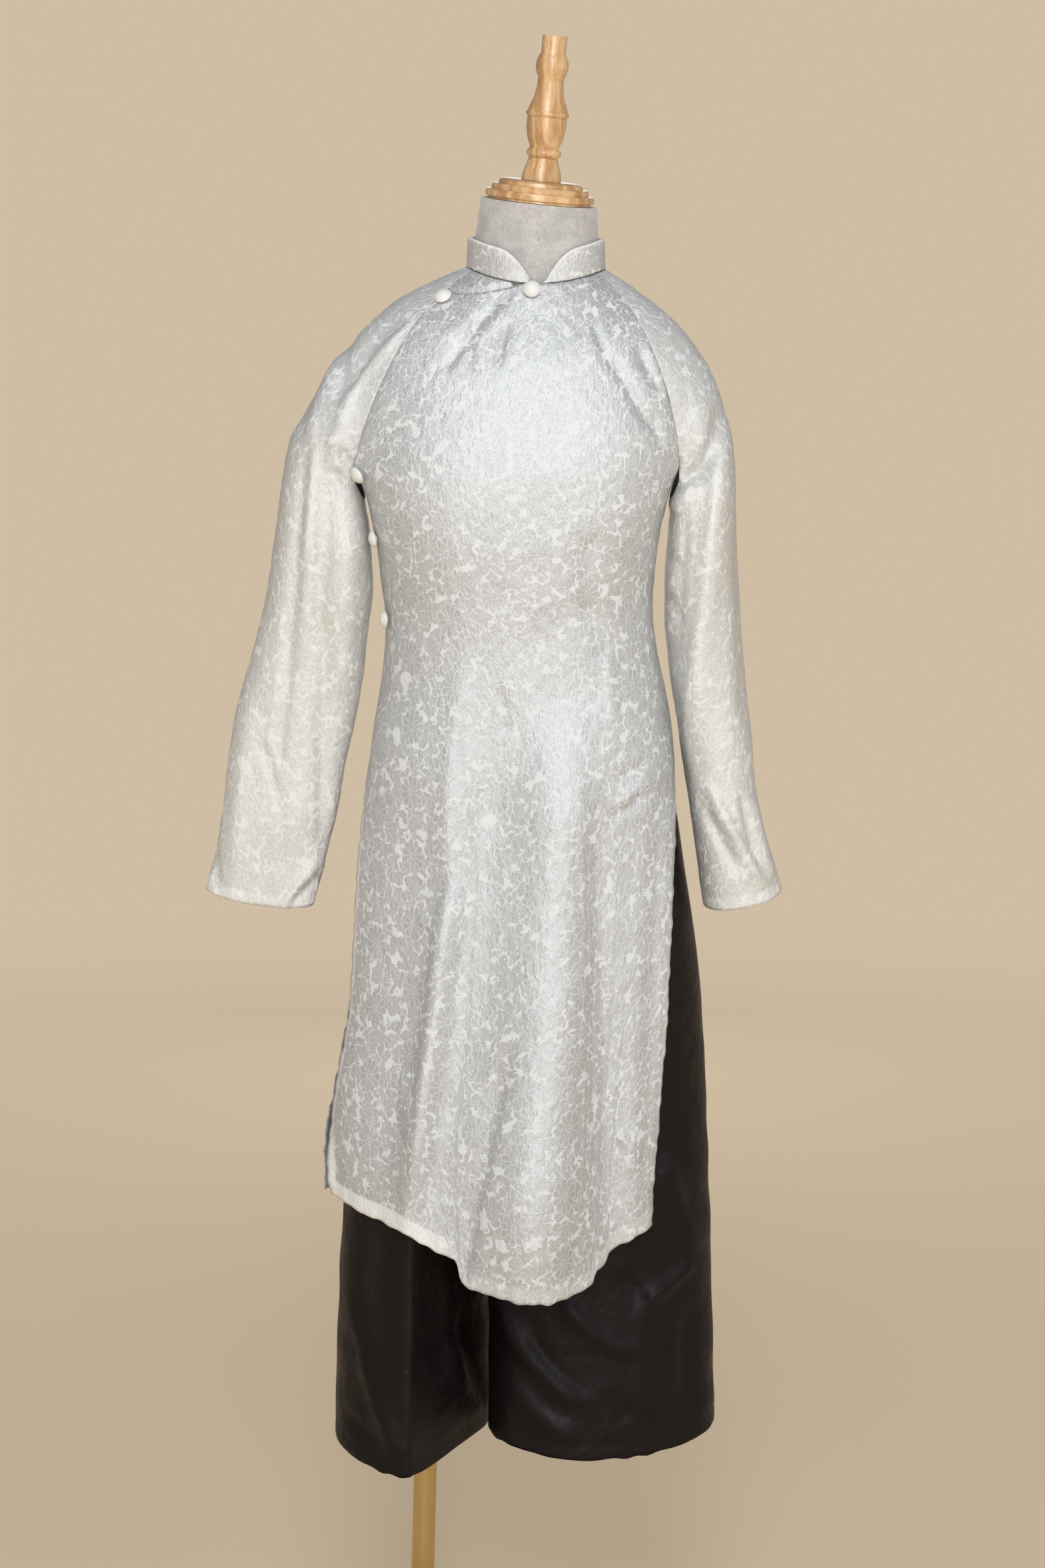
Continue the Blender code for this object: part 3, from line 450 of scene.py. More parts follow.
pole_profile = [(0.0, pole_box[1].z), (POLE_RADIUS - 0.001, pole_box[1].z),
                (POLE_RADIUS, pole_box[1].z - 0.001), (POLE_RADIUS, pole_box[0].z + 0.001),
                (POLE_RADIUS - 0.001, pole_box[0].z), (0.0, pole_box[0].z)]
shear = Matrix(((1.0, 0.0, POLE_LEAN, 0.0), (0.0, 1.0, 0.0, 0.0), (0.0, 0.0, 1.0, 0.0),
                (0.0, 0.0, 0.0, 1.0)))
tube = turned("brass_pole", pole_profile, shear)
tube.data.materials.append(brass)
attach(tube, "root")
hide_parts("pole")

BASE_RADIUS = 0.200
BASE_THICKNESS = 0.012
SOCKET_RADIUS = 0.021
SOCKET_HEIGHT = 0.045
SOCKET_BORE = 0.0141
base_profile = [(0.0, BASE_THICKNESS), (SOCKET_BORE, BASE_THICKNESS),
                (SOCKET_BORE, SOCKET_HEIGHT - 0.001), (SOCKET_BORE + 0.001, SOCKET_HEIGHT),
                (SOCKET_RADIUS - 0.002, SOCKET_HEIGHT), (SOCKET_RADIUS, SOCKET_HEIGHT - 0.002),
                (SOCKET_RADIUS, BASE_THICKNESS + 0.004), (SOCKET_RADIUS + 0.001, 0.0135),
                (SOCKET_RADIUS + 0.004, BASE_THICKNESS), (BASE_RADIUS - 0.007, BASE_THICKNESS),
                (BASE_RADIUS - 0.003, BASE_THICKNESS - 0.001),
                (BASE_RADIUS - 0.0008, BASE_THICKNESS - 0.003),
                (BASE_RADIUS, BASE_THICKNESS - 0.007), (BASE_RADIUS, 0.0), (0.0, 0.0)]
BASE_STEPS = 96
ENAMEL_DARK = (0.030, 0.026, 0.022, 1.0)
ENAMEL_DUST = (0.10, 0.09, 0.078, 1.0)
enamel, tree, shader = finish_named("dark_enamel", 0.42, 0.35)
place = put(tree, "TexCoord").outputs["Object"]
grain = put(tree, "TexNoise", Vector=place, Scale=420.0, Detail=2.0)
dust = put(tree, "TexNoise", Vector=place, Scale=9.0, Detail=5.0)
tree.links.new(blend_color(tree, fade(tree, dust.outputs["Fac"], 0.45, 0.8, 0.0, 0.5),
                           ENAMEL_DARK, ENAMEL_DUST), shader.inputs["Base Color"])
tree.links.new(fade(tree, dust.outputs["Fac"], 0.4, 0.7, 0.34, 0.55), shader.inputs["Roughness"])
roughen(tree, shader, grain.outputs["Fac"], 0.2, 0.0002)
plate = turned("enamel_base", base_profile, Matrix.Identity(4), BASE_STEPS)
plate.data.materials.append(enamel)
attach(plate, "root")
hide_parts("base_plate")


# Silk jacquard: ivory silk with satin daisies, ringed rosettes and curled leaves on a matt ground.
# The repeat is 96 by 69 mm. Satin floats look darker in shade and catch the light where they face
# it, and a thin matt line parts the petals. Patterns are laid out in millimetres on the cut.
COLUMN = 48.0
REPEAT = 69.0
STEP = 27.0


def group_named(name, inputs, outputs):
    """A node group with named inputs and outputs, and its two ends."""
    made = bpy.data.node_groups.new(name, "ShaderNodeTree")
    for label, kind in inputs:
        made.interface.new_socket(label, in_out="INPUT", socket_type=kind)
    for label in outputs:
        made.interface.new_socket(label, in_out="OUTPUT", socket_type="NodeSocketFloat")
    return made, made.nodes.new("NodeGroupInput"), made.nodes.new("NodeGroupOutput")


blossom, start, end = group_named(
    "woven_blossom",
    [("Cut", "NodeSocketVector"), ("Middle", "NodeSocketVector"), ("Size", "NodeSocketVector"),
     ("Half Petals", "NodeSocketFloat"), ("Notch", "NodeSocketFloat")],
    ["Body", "Line"])
away = put(blossom, "VectorMath", {"operation": "SUBTRACT"},
           _0=start.outputs["Cut"], _1=start.outputs["Middle"]).outputs[0]
near = put(blossom, "VectorMath", {"operation": "WRAP"}, _0=away,
           _1=(COLUMN / 2, REPEAT / 2, 0.0), _2=(-COLUMN / 2, -REPEAT / 2, 0.0))
share = put(blossom, "VectorMath", {"operation": "DIVIDE"}, _0=near.outputs[0],
            _1=start.outputs["Size"]).outputs[0]
radius = put(blossom, "VectorMath", {"operation": "LENGTH"}, _0=share).outputs["Value"]
parts = put(blossom, "SeparateXYZ", _0=share)
turn = math_node(blossom, "ARCTAN2", parts.outputs[1], parts.outputs[0])
petal = math_node(blossom, "ABSOLUTE", math_node(
    blossom, "COSINE", math_node(blossom, "MULTIPLY", turn, start.outputs["Half Petals"])))
tip = math_node(blossom, "MULTIPLY_ADD", math_node(blossom, "POWER", petal, 0.5),
                start.outputs["Notch"],
                math_node(blossom, "SUBTRACT", 1.0, start.outputs["Notch"]))
inside = math_node(blossom, "SUBTRACT", tip, radius)
blossom.links.new(fade(blossom, inside, 0.0, 0.04), end.inputs["Body"])
rim = fade(blossom, math_node(blossom, "ABSOLUTE", inside), 0.015, 0.055, 0.90, 0.0)
gap = fade(blossom, math_node(blossom, "MULTIPLY", petal, radius), 0.04, 0.19, 1.0, 0.0)
gap = math_node(blossom, "MULTIPLY", gap, fade(blossom, radius, 0.22, 0.42))
ring = math_node(blossom, "ABSOLUTE", math_node(blossom, "SUBTRACT", radius, 0.20))
ring = fade(blossom, ring, 0.02, 0.06, 0.7, 0.0)
heart = fade(blossom, radius, 0.03, 0.09, 0.8, 0.0)
lines = math_node(blossom, "MAXIMUM", math_node(blossom, "MAXIMUM", rim, gap),
                  math_node(blossom, "MAXIMUM", ring, heart))
near_by = fade(blossom, inside, -0.12, -0.05)
blossom.links.new(math_node(blossom, "MULTIPLY", lines, near_by), end.inputs["Line"])

# Flowers stand in columns, and every second column starts a step higher. The second row of places
# is for rosettes between two columns.
Blossom = namedtuple("Blossom", "x y wide tall petals notch")
DAISY = Blossom(24.0, 18.0, 14.2, 18.8, 11, 0.36)
ROSETTES = [
    Blossom(24.5, 51.0, 6.8, 7.6, 7, 0.16),
    Blossom(24.0, 33.0, 5.8, 6.6, 6, 0.18),
    Blossom(22.0, 62.0, 5.4, 6.0, 7, 0.16),
]
LEAF_SCALE = 0.158
DAISY_SATIN = 1.0
ROSETTE_SATIN = 0.96
LEAF_SATIN = 0.95
jacquard, start, end = group_named(
    "silk_jacquard", [("Cut", "NodeSocketVector")], ["Satin"])
cut_mm = put(jacquard, "VectorMath", {"operation": "SCALE"},
             _0=start.outputs["Cut"], Scale=1000.0).outputs[0]


def in_columns(shift):
    """The cut, with every second column moved up by a step."""
    split = put(jacquard, "SeparateXYZ", _0=cut_mm)
    x = math_node(jacquard, "ADD", split.outputs[0], shift)
    column = math_node(jacquard, "FLOOR", math_node(jacquard, "DIVIDE", x, COLUMN))
    odd = math_node(jacquard, "FLOORED_MODULO", column, 2.0)
    y = math_node(jacquard, "MULTIPLY_ADD", odd, -STEP, split.outputs[1])
    return put(jacquard, "CombineXYZ", _0=x, _1=y).outputs[0]


curl = put(jacquard, "TexNoise", Vector=cut_mm, Scale=0.10, Detail=0.0)
drift = put(jacquard, "VectorMath", {"operation": "MULTIPLY_ADD"},
            _0=curl.outputs["Color"], _1=(16.0, 16.0, 0.0), _2=cut_mm).outputs[0]
teeth = put(jacquard, "TexNoise", Vector=cut_mm, Scale=0.42, Detail=0.0)
drift = put(jacquard, "VectorMath", {"operation": "MULTIPLY_ADD"},
            _0=teeth.outputs["Color"], _1=(4.0, 2.6, 0.0), _2=drift).outputs[0]
flat = put(jacquard, "VectorMath", {"operation": "MULTIPLY"}, _0=drift,
           _1=(1.0, 0.66, 0.0)).outputs[0]
cells = put(jacquard, "TexVoronoi",
            {"feature": "DISTANCE_TO_EDGE", "voronoi_dimensions": "2D"}, Vector=flat,
            Scale=LEAF_SCALE)
leaves = put(jacquard, "TexVoronoi", {"feature": "F1", "voronoi_dimensions": "2D"},
             Vector=flat, Scale=LEAF_SCALE)
leafy = put(jacquard, "SeparateColor", _0=leaves.outputs["Color"]).outputs[0]
claw = math_node(jacquard, "MULTIPLY_ADD", fade(jacquard, cells.outputs["Distance"], 0.0, 0.09),
                 0.13, 0.47)
claw = math_node(jacquard, "SUBTRACT", leaves.outputs["Distance"], claw)
leaf = math_node(jacquard, "MULTIPLY", fade(jacquard, leafy, 0.01, 0.03),
                 fade(jacquard, claw, -0.015, 0.015, 1.0, 0.0))
spoke = put(jacquard, "VectorMath", {"operation": "SUBTRACT"}, _0=flat,
            _1=leaves.outputs["Position"]).outputs[0]
spoke = put(jacquard, "SeparateXYZ", _0=spoke)
turn = math_node(jacquard, "ARCTAN2", spoke.outputs[1], spoke.outputs[0])
ribs = math_node(jacquard, "ABSOLUTE", math_node(
    jacquard, "COSINE", math_node(jacquard, "MULTIPLY", turn, 3.0)))
ribs = math_node(jacquard, "MULTIPLY", fade(jacquard, ribs, 0.08, 0.34, 0.5, 0.0),
                 fade(jacquard, leaves.outputs["Distance"], 0.10, 0.26))
marks = math_node(jacquard, "MAXIMUM", ribs,
                  fade(jacquard, cells.outputs["Distance"], 0.010, 0.055, 0.6, 0.0))
tone = math_node(jacquard, "MULTIPLY", leaf, LEAF_SATIN)
columns = in_columns(0.0)
between_columns = in_columns(COLUMN / 2)
for row, place, strength in ((ROSETTES[0], columns, ROSETTE_SATIN),
                             (ROSETTES[1], between_columns, ROSETTE_SATIN),
                             (ROSETTES[2], between_columns, ROSETTE_SATIN),
                             (DAISY, columns, DAISY_SATIN)):
    flower = put(jacquard, "Group", {"node_tree": blossom}, Cut=place,
                 Middle=(row.x, row.y, 0.0), Size=(row.wide, row.tall, 1.0),
                 Half_Petals=row.petals / 2, Notch=row.notch)
    hidden = math_node(jacquard, "SUBTRACT", 1.0, flower.outputs["Body"])
    marks = math_node(jacquard, "MAXIMUM", flower.outputs["Line"],
                      math_node(jacquard, "MULTIPLY", marks, hidden))
    tone = put(jacquard, "Mix", _0=flower.outputs["Body"], _2=tone,
               _3=strength).outputs[0]
satin_mask = math_node(jacquard, "MULTIPLY", tone, math_node(
    jacquard, "MULTIPLY_ADD", marks, -0.8, 1.0))
jacquard.links.new(satin_mask, end.inputs["Satin"])

GROUND_IVORY = (0.715, 0.725, 0.735, 1.0)
SATIN_IVORY = (0.560, 0.567, 0.578, 1.0)
BAND_IVORY = (0.85, 0.842, 0.815, 1.0)
BAND_HIDES = 0.85
SATIN_METAL = 0.56
# Heights over which the painted warm light on the sleeves' ground gives way to the plain ivory
# above.
PAINTED_WARM_LIGHT_BELOW = (1.27, 1.42)


def silk(name, ground, satin, figure=1.0, painted_warm_light=None):
    """Ivory silk jacquard. Figure is how strongly its satin differs from the ground. The last
    argument, if given, is a warm tone of painted light on the ground below the shoulders, where
    light shines through the empty sleeves."""
    made, tree, shader = finish_named(name, 0.5)
    cut = put(tree, "UVMap", {"uv_map": "cut"}).outputs[0]
    weave = put(tree, "Group", {"node_tree": jacquard}, Cut=cut)
    band = put(tree, "Attribute", {"attribute_name": "band"}).outputs["Fac"]
    open_cloth = math_node(tree, "MULTIPLY_ADD", band, -BAND_HIDES, 1.0)
    floats = math_node(tree, "MULTIPLY", weave.outputs["Satin"], open_cloth)
    floats = math_node(tree, "MULTIPLY", floats, figure)
    # Painted light: below the shoulders the ground is tinted warm, for light shining through the
    # empty sleeves.
    if painted_warm_light:
        place = put(tree, "TexCoord").outputs["Object"]
        height = put(tree, "SeparateXYZ", _0=place).outputs[2]
        ground = blend_color(tree, fade(tree, height, *PAINTED_WARM_LIGHT_BELOW), painted_warm_light, ground)
    base = blend_color(tree, band, ground, BAND_IVORY)
    tree.links.new(blend_color(tree, floats, base, satin), shader.inputs["Base Color"])
    tree.links.new(math_node(tree, "MULTIPLY", floats, SATIN_METAL), shader.inputs["Metallic"])
    tree.links.new(math_node(tree, "MULTIPLY_ADD", floats, -0.02, 0.51),
                   shader.inputs["Roughness"])
    shader.inputs["Specular IOR Level"].default_value = 0.36
    crepe = put(tree, "Mapping", _0=cut)
    crepe.inputs["Rotation"].default_value = (0.0, 0.0, 0.5)
    crepe.inputs["Scale"].default_value = (1.0, 0.45, 1.0)
    crumple = put(tree, "TexNoise", Vector=crepe.outputs[0], Scale=170.0, Detail=4.0,
                  Roughness=0.70)
    roughen(tree, shader, crumple.outputs["Fac"], 0.9, 0.0021)
    return made


ivory = silk("ivory_jacquard", GROUND_IVORY, SATIN_IVORY)

# Tunic panels: whole front and back, cut wide and slit to the waist, so that they hang free below
# in long soft folds. Hems and slit edges are turned once and felled by hand.
WALL = 0.0007
Body = namedtuple("Body", "z right left front back edge_right edge_left back_right back_left")
BODY = [
    Body(1.285, -0.0480, 0.2620, -0.123, 0.112, 0.000, 0.000, -0.0480, 0.2620),
    Body(1.245, -0.0405, 0.2540, -0.121, 0.108, 0.000, 0.000, -0.0405, 0.2540),
    Body(1.200, -0.0345, 0.2495, -0.116, 0.103, 0.000, 0.000, -0.0345, 0.2495),
    Body(1.160, -0.0305, 0.2485, -0.111, 0.100, 0.000, 0.000, -0.0305, 0.2485),
    Body(1.110, -0.0335, 0.2570, -0.109, 0.103, 0.000, 0.000, -0.0335, 0.2570),
    Body(1.060, -0.0420, 0.2680, -0.113, 0.110, 0.000, 0.000, -0.0420, 0.2680),
    Body(1.010, -0.0490, 0.2720, -0.119, 0.117, -0.016, -0.024, -0.0490, 0.2740),
    Body(0.950, -0.0570, 0.2720, -0.124, 0.123, -0.032, -0.054, -0.0570, 0.2740),
    Body(0.850, -0.0640, 0.2675, -0.129, 0.129, -0.048, -0.078, -0.0640, 0.2710),
    Body(0.750, -0.0700, 0.2630, -0.133, 0.132, -0.056, -0.088, -0.0740, 0.2700),
    Body(0.660, -0.0860, 0.2560, -0.137, 0.135, -0.058, -0.092, -0.0900, 0.2680),
    Body(0.600, -0.0905, 0.2515, -0.141, 0.138, -0.056, -0.096, -0.1030, 0.2650),
    Body(0.550, -0.0840, 0.2480, -0.143, 0.140, -0.060, -0.098, -0.1050, 0.2620),
    Body(0.470, -0.0800, 0.2460, -0.145, 0.142, -0.062, -0.100, -0.1060, 0.2600),
]
SLIT_TOP = 1.045
BODY_ROUND = 2.4
CHEST_ROUND = 3.0
HANGING_ROUND = 3.2
Hem = namedtuple("Hem", "across front back")
HEM = [
    Hem(0.00, 0.557, 0.530), Hem(0.10, 0.546, 0.512), Hem(0.22, 0.537, 0.496),
    Hem(0.31, 0.521, 0.486), Hem(0.376, 0.511, 0.482), Hem(0.390, 0.507, 0.481),
    Hem(0.402, 0.490, 0.480), Hem(0.416, 0.486, 0.480), Hem(0.50, 0.479, 0.477),
    Hem(0.62, 0.471, 0.476), Hem(0.74, 0.477, 0.482), Hem(0.792, 0.483, 0.488),
    Hem(0.806, 0.496, 0.490), Hem(0.836, 0.500, 0.493), Hem(0.848, 0.510, 0.495),
    Hem(0.92, 0.522, 0.510), Hem(1.00, 0.533, 0.526),
]
Fold = namedtuple("Fold", "top low start full right_width left_width depth")
FRONT_FOLDS = [
    Fold(0.36, 0.24, 1.02, 0.72, 0.045, 0.12, 0.014),
    Fold(0.58, 0.60, 0.98, 0.50, 0.200, 0.19, 0.036),
    Fold(0.66, 0.86, 1.04, 0.80, 0.060, 0.06, -0.007),
    Fold(0.90, 0.95, 0.80, 0.60, 0.060, 0.05, 0.006),
]
BACK_FOLDS = [
    Fold(0.30, 0.22, 1.02, 0.60, 0.110, 0.10, 0.018),
    Fold(0.52, 0.55, 1.00, 0.55, 0.120, 0.13, 0.022),
    Fold(0.76, 0.84, 1.02, 0.65, 0.090, 0.09, 0.014),
]
Sleeve = namedtuple("Sleeve", "z outer inner depth y")
SLEEVE_RIGHT = [
    Sleeve(1.318, -0.1300, -0.0560, 0.056, 0.000),
    Sleeve(1.260, -0.1435, -0.0485, 0.058, -0.002),
    Sleeve(1.190, -0.1550, -0.0450, 0.050, -0.006),
    Sleeve(1.140, -0.1665, -0.0505, 0.042, -0.008),
    Sleeve(1.070, -0.1870, -0.0600, 0.034, -0.012),
    Sleeve(1.010, -0.1960, -0.0740, 0.029, -0.016),
    Sleeve(0.960, -0.2030, -0.0820, 0.026, -0.020),
    Sleeve(0.915, -0.2100, -0.0940, 0.022, -0.022),
    Sleeve(0.870, -0.2215, -0.1080, 0.018, -0.024),
]
SLEEVE_LEFT = [
    Sleeve(1.318, 0.3280, 0.2700, 0.056, 0.000),
    Sleeve(1.260, 0.3360, 0.2660, 0.060, -0.002),
    Sleeve(1.190, 0.3410, 0.2610, 0.056, -0.006),
    Sleeve(1.140, 0.3440, 0.2630, 0.053, -0.008),
    Sleeve(1.070, 0.3510, 0.2720, 0.050, -0.012),
    Sleeve(1.010, 0.3555, 0.2810, 0.047, -0.016),
    Sleeve(0.960, 0.3610, 0.2890, 0.044, -0.020),
    Sleeve(0.915, 0.3730, 0.2960, 0.040, -0.022),
    Sleeve(0.870, 0.3860, 0.3030, 0.036, -0.024),
]
ARM_TABLES = {"right": SLEEVE_RIGHT, "left": SLEEVE_LEFT}
ARM_CORNER = math.radians(135)
ARM_ROUND_OUT = 2.1
ARM_ROUND_IN = 4.5
UNDERARM_Z = 1.290
NECK_START = 0.003


def arm_ring(table, z, angle):
    """A sleeve section. The angle is 0 on its outer side and 90 degrees at its front."""
    row = read(table, z)
    middle = (row.outer + row.inner) / 2
    half = (row.outer - row.inner) / 2
    side = np.cos(angle)
    inward = ease((np.asarray(z) - 1.12) / 0.2)
    roundness = np.where(side > 0, ARM_ROUND_OUT, mix(ARM_ROUND_OUT, ARM_ROUND_IN, inward))
    x = middle + half * power(side, 2 / roundness)
    y = row.y - row.depth * power(np.sin(angle), 2 / roundness)
    return at_point(x, y, z)


def armpit(side, angle):
    return arm_ring(ARM_TABLES[side], SLEEVE_RIGHT[0].z, angle)


def seam_angle(down):
    """Where the raglan seams cross a yoke ring."""
    return np.arccos(read(YOKE, down).seam ** (mix(2.0, 2.5, down) / 2))


def blend_to_armhole(down):
    return ease((down - 0.35) / 0.65)


def fold_depth(folds, across, z):
    """How far the long folds stand out at a point of a panel."""
    total = 0.0
    for fold in folds:
        grown = ease((fold.start - z) / (fold.start - fold.full))
        fallen = np.clip((fold.start - z) / (fold.start - 0.5), 0.0, 1.0)
        offset = across - mix(fold.top, fold.low, fallen)
        width = np.where(offset > 0, fold.left_width, fold.right_width)
        total = total + fold.depth * grown * np.exp(-(offset / width) ** 2)
    return total


def panel_body(across, z, facing):
    """Front or back below the armholes, with side seams above the slits and free edges below."""
    row = read(BODY, z)
    right, left = (row.right, row.left) if facing > 0 else (row.back_right, row.back_left)
    depth = row.front if facing > 0 else row.back
    edge = facing * np.minimum(mix(row.edge_right, row.edge_left, across), 0.0)
    turn = math.pi * across
    roundness = mix(BODY_ROUND, CHEST_ROUND, ease((z - 1.17) / 0.115))
    wrapped = (1 - power(np.cos(turn), 2 / roundness)) / 2
    free = ease((SLIT_TOP - z) / 0.15)
    x = mix(right, left, mix(wrapped, across, 0.85 * free))
    folds = FRONT_FOLDS if facing > 0 else BACK_FOLDS
    bow = np.maximum(np.sin(turn), 0.0) ** (2 / mix(roundness, HANGING_ROUND, free))
    return at_point(x, mix(edge, depth, bow) - facing * fold_depth(folds, across, z), z)


def panel_armhole(across, facing):
    """The panel's row between the armholes: the body's section, drawn out to the seam's end."""
    point = panel_body(across, np.full_like(across, BODY[0].z), facing)
    edge = np.abs(2 * across - 1) ** 5
    right_corner = armpit("right", facing * ARM_CORNER)
    left_corner = armpit("left", facing * ARM_CORNER)
    corner = np.where((across < 0.5)[..., None], right_corner, left_corner)
    body = np.where(across < 0.5, BODY[0].right, BODY[0].left)
    middle_z = YOKE[-1].front_z if facing > 0 else YOKE[-1].back_z
    point[..., 0] += (corner[..., 0] - body) * edge
    point[..., 1] += corner[..., 1] * edge
    point[..., 2] = mix(middle_z, corner[..., 2], edge)
    return point


def panel_point(across, down, facing):
    """A panel's points: down is 0 to 1 on the yoke, 1 to 2 by the armhole, 2 to 3 below."""
    on_yoke = np.minimum(down, 1.0)
    first = seam_angle(on_yoke)
    upper = yoke_point(on_yoke, facing * mix(first, math.pi - first, across))
    armhole = panel_armhole(across, facing)
    yoke = mix(upper, armhole, blend_to_armhole(on_yoke)[..., None])
    under = panel_body(across, np.full_like(across, BODY[0].z), facing)
    edge = np.abs(2 * across - 1) ** 6
    under[..., 2] = mix(under[..., 2], UNDERARM_Z, edge)
    beside = mix(armhole, under, np.clip(down - 1.0, 0.0, 1.0)[..., None])
    hem = read(HEM, across)
    low = hem.front if facing > 0 else hem.back
    body = panel_body(across, mix(BODY[0].z, low, np.clip(down - 2.0, 0.0, 1.0)), facing)
    lower = np.where((down <= 2.0)[..., None], beside, body)
    return np.where((down <= 1.0)[..., None], yoke, lower)


def front_top(across):
    """How far down the yoke the front's top edge lies: it dips towards the shoulder button."""
    return mix(NECK_START, 0.175, ease((0.46 - across) / 0.46))


def settle(points, passes):
    """Evens a grid of points down its columns, as cloth rounds off sudden turns."""
    for _ in range(passes):
        points[1:-1] = points[1:-1] / 2 + (points[:-2] + points[2:]) / 4
    return points


# A crease runs over the front view from x0, z0 to x1, z1. Bow is how far its middle lies to the
# right of that direction, left and right are its half widths, and rise is negative in a trough.
Crease = namedtuple("Crease", "x0 z0 x1 z1 bow left right rise")


def crease_height(points, creases):
    """How far creases lift each point of a grid."""
    total = np.zeros(points.shape[:2])
    for row in creases:
        run = np.array([row.x1 - row.x0, row.z1 - row.z0])
        length = np.linalg.norm(run)
        run = run / length
        x = points[..., 0] - row.x0
        z = points[..., 2] - row.z0
        along = (x * run[0] + z * run[1]) / length
        offset = x * run[1] - z * run[0] - row.bow * 4 * along * (1 - along)
        width = np.where(offset > 0, row.right, row.left)
        taper = ease((along + 0.12) / 0.3) * ease((1.12 - along) / 0.3)
        total += row.rise * taper * np.exp(-(offset / width) ** 2)
    return total


def ripple(points, amount, waves):
    """Small uneven swells, from a few crossing waves of (x, z, phase)."""
    total = np.zeros(points.shape[:2])
    for x, z, phase in waves:
        total += np.sin(points[..., 0] * x + points[..., 2] * z + phase
                        + 1.3 * np.sin(points[..., 2] * x * 0.31 + phase * 2.1))
    return amount * total / len(waves)


SOFT_WAVES = [(71.0, 23.0, 0.4), (-38.0, 61.0, 1.9), (112.0, -34.0, 3.1), (29.0, -97.0, 4.4)]
FINE_WAVES = [(260.0, 150.0, 0.2), (-310.0, 210.0, 2.6), (170.0, -330.0, 5.1)]


def cut_of(points, middle, start_row):
    """Each point's place on the flat cut: across its row and along its column, in metres."""
    across = np.zeros(points.shape[:2])
    steps = np.linalg.norm(np.diff(points, axis=1), axis=-1)
    across[:, 1:] = np.cumsum(steps, axis=1)
    across -= across[:, middle:middle + 1]
    down = np.zeros(points.shape[:2])
    steps = np.linalg.norm(np.diff(points, axis=0), axis=-1)
    down[1:] = np.cumsum(steps, axis=0)
    down -= down[start_row:start_row + 1]
    return np.stack([across, -down], axis=-1)


def hang(name, points, cut, material, band=None, skip=None):
    """A cloth piece from a grid: its vertices take the points, then it gets its thin wall. Band is
    how much of a plain pale hem shows at each point, and skip tells which faces are left out."""
    rows, columns = points.shape[0] - 1, points.shape[1] - 1
    band = np.zeros(points.shape[:2]) if band is None else band
    cloth = bmesh.new()
    cloth.loops.layers.uv.new("cut")
    bmesh.ops.create_grid(cloth, x_segments=columns, y_segments=rows, size=0.5, calc_uvs=True)
    cloth.verts.ensure_lookup_table()
    place = np.array([vertex.co for vertex in cloth.verts])
    column = np.rint((place[:, 0] + 0.5) * columns).astype(int)
    row = np.rint((0.5 - place[:, 1]) * rows).astype(int)
    flat = cut[row, column]
    cuts = cloth.loops.layers.uv["cut"]
    bands = cloth.verts.layers.float.new("band")
    for vertex, point, share in zip(cloth.verts, points[row, column], band[row, column]):
        vertex.co = point
        vertex[bands] = share
        for loop in vertex.link_loops:
            loop[cuts].uv = flat[vertex.index]
    if skip is not None:
        spare = [face for face in cloth.faces
                 if skip(min(row[v.index] for v in face.verts),
                         min(column[v.index] for v in face.verts))]
        bmesh.ops.delete(cloth, geom=spare, context="FACES")
    bmesh.ops.remove_doubles(cloth, verts=cloth.verts, dist=0.0001)
    piece = piece_of(name, cloth)
    piece.data.materials.append(material)
    wall = piece.modifiers.new("Wall", "SOLIDIFY")
    wall.thickness = WALL
    wall.offset = 0.0
    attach(piece, "root")
    return piece


def edge_distance(cut):
    """Distance of each point of a cut from its bottom edge and from its nearer side."""
    bottom = cut[..., 1] - cut[-1:, :, 1]
    side = np.minimum(cut[..., 0] - cut[:, :1, 0], cut[:, -1:, 0] - cut[..., 0])
    return bottom, side


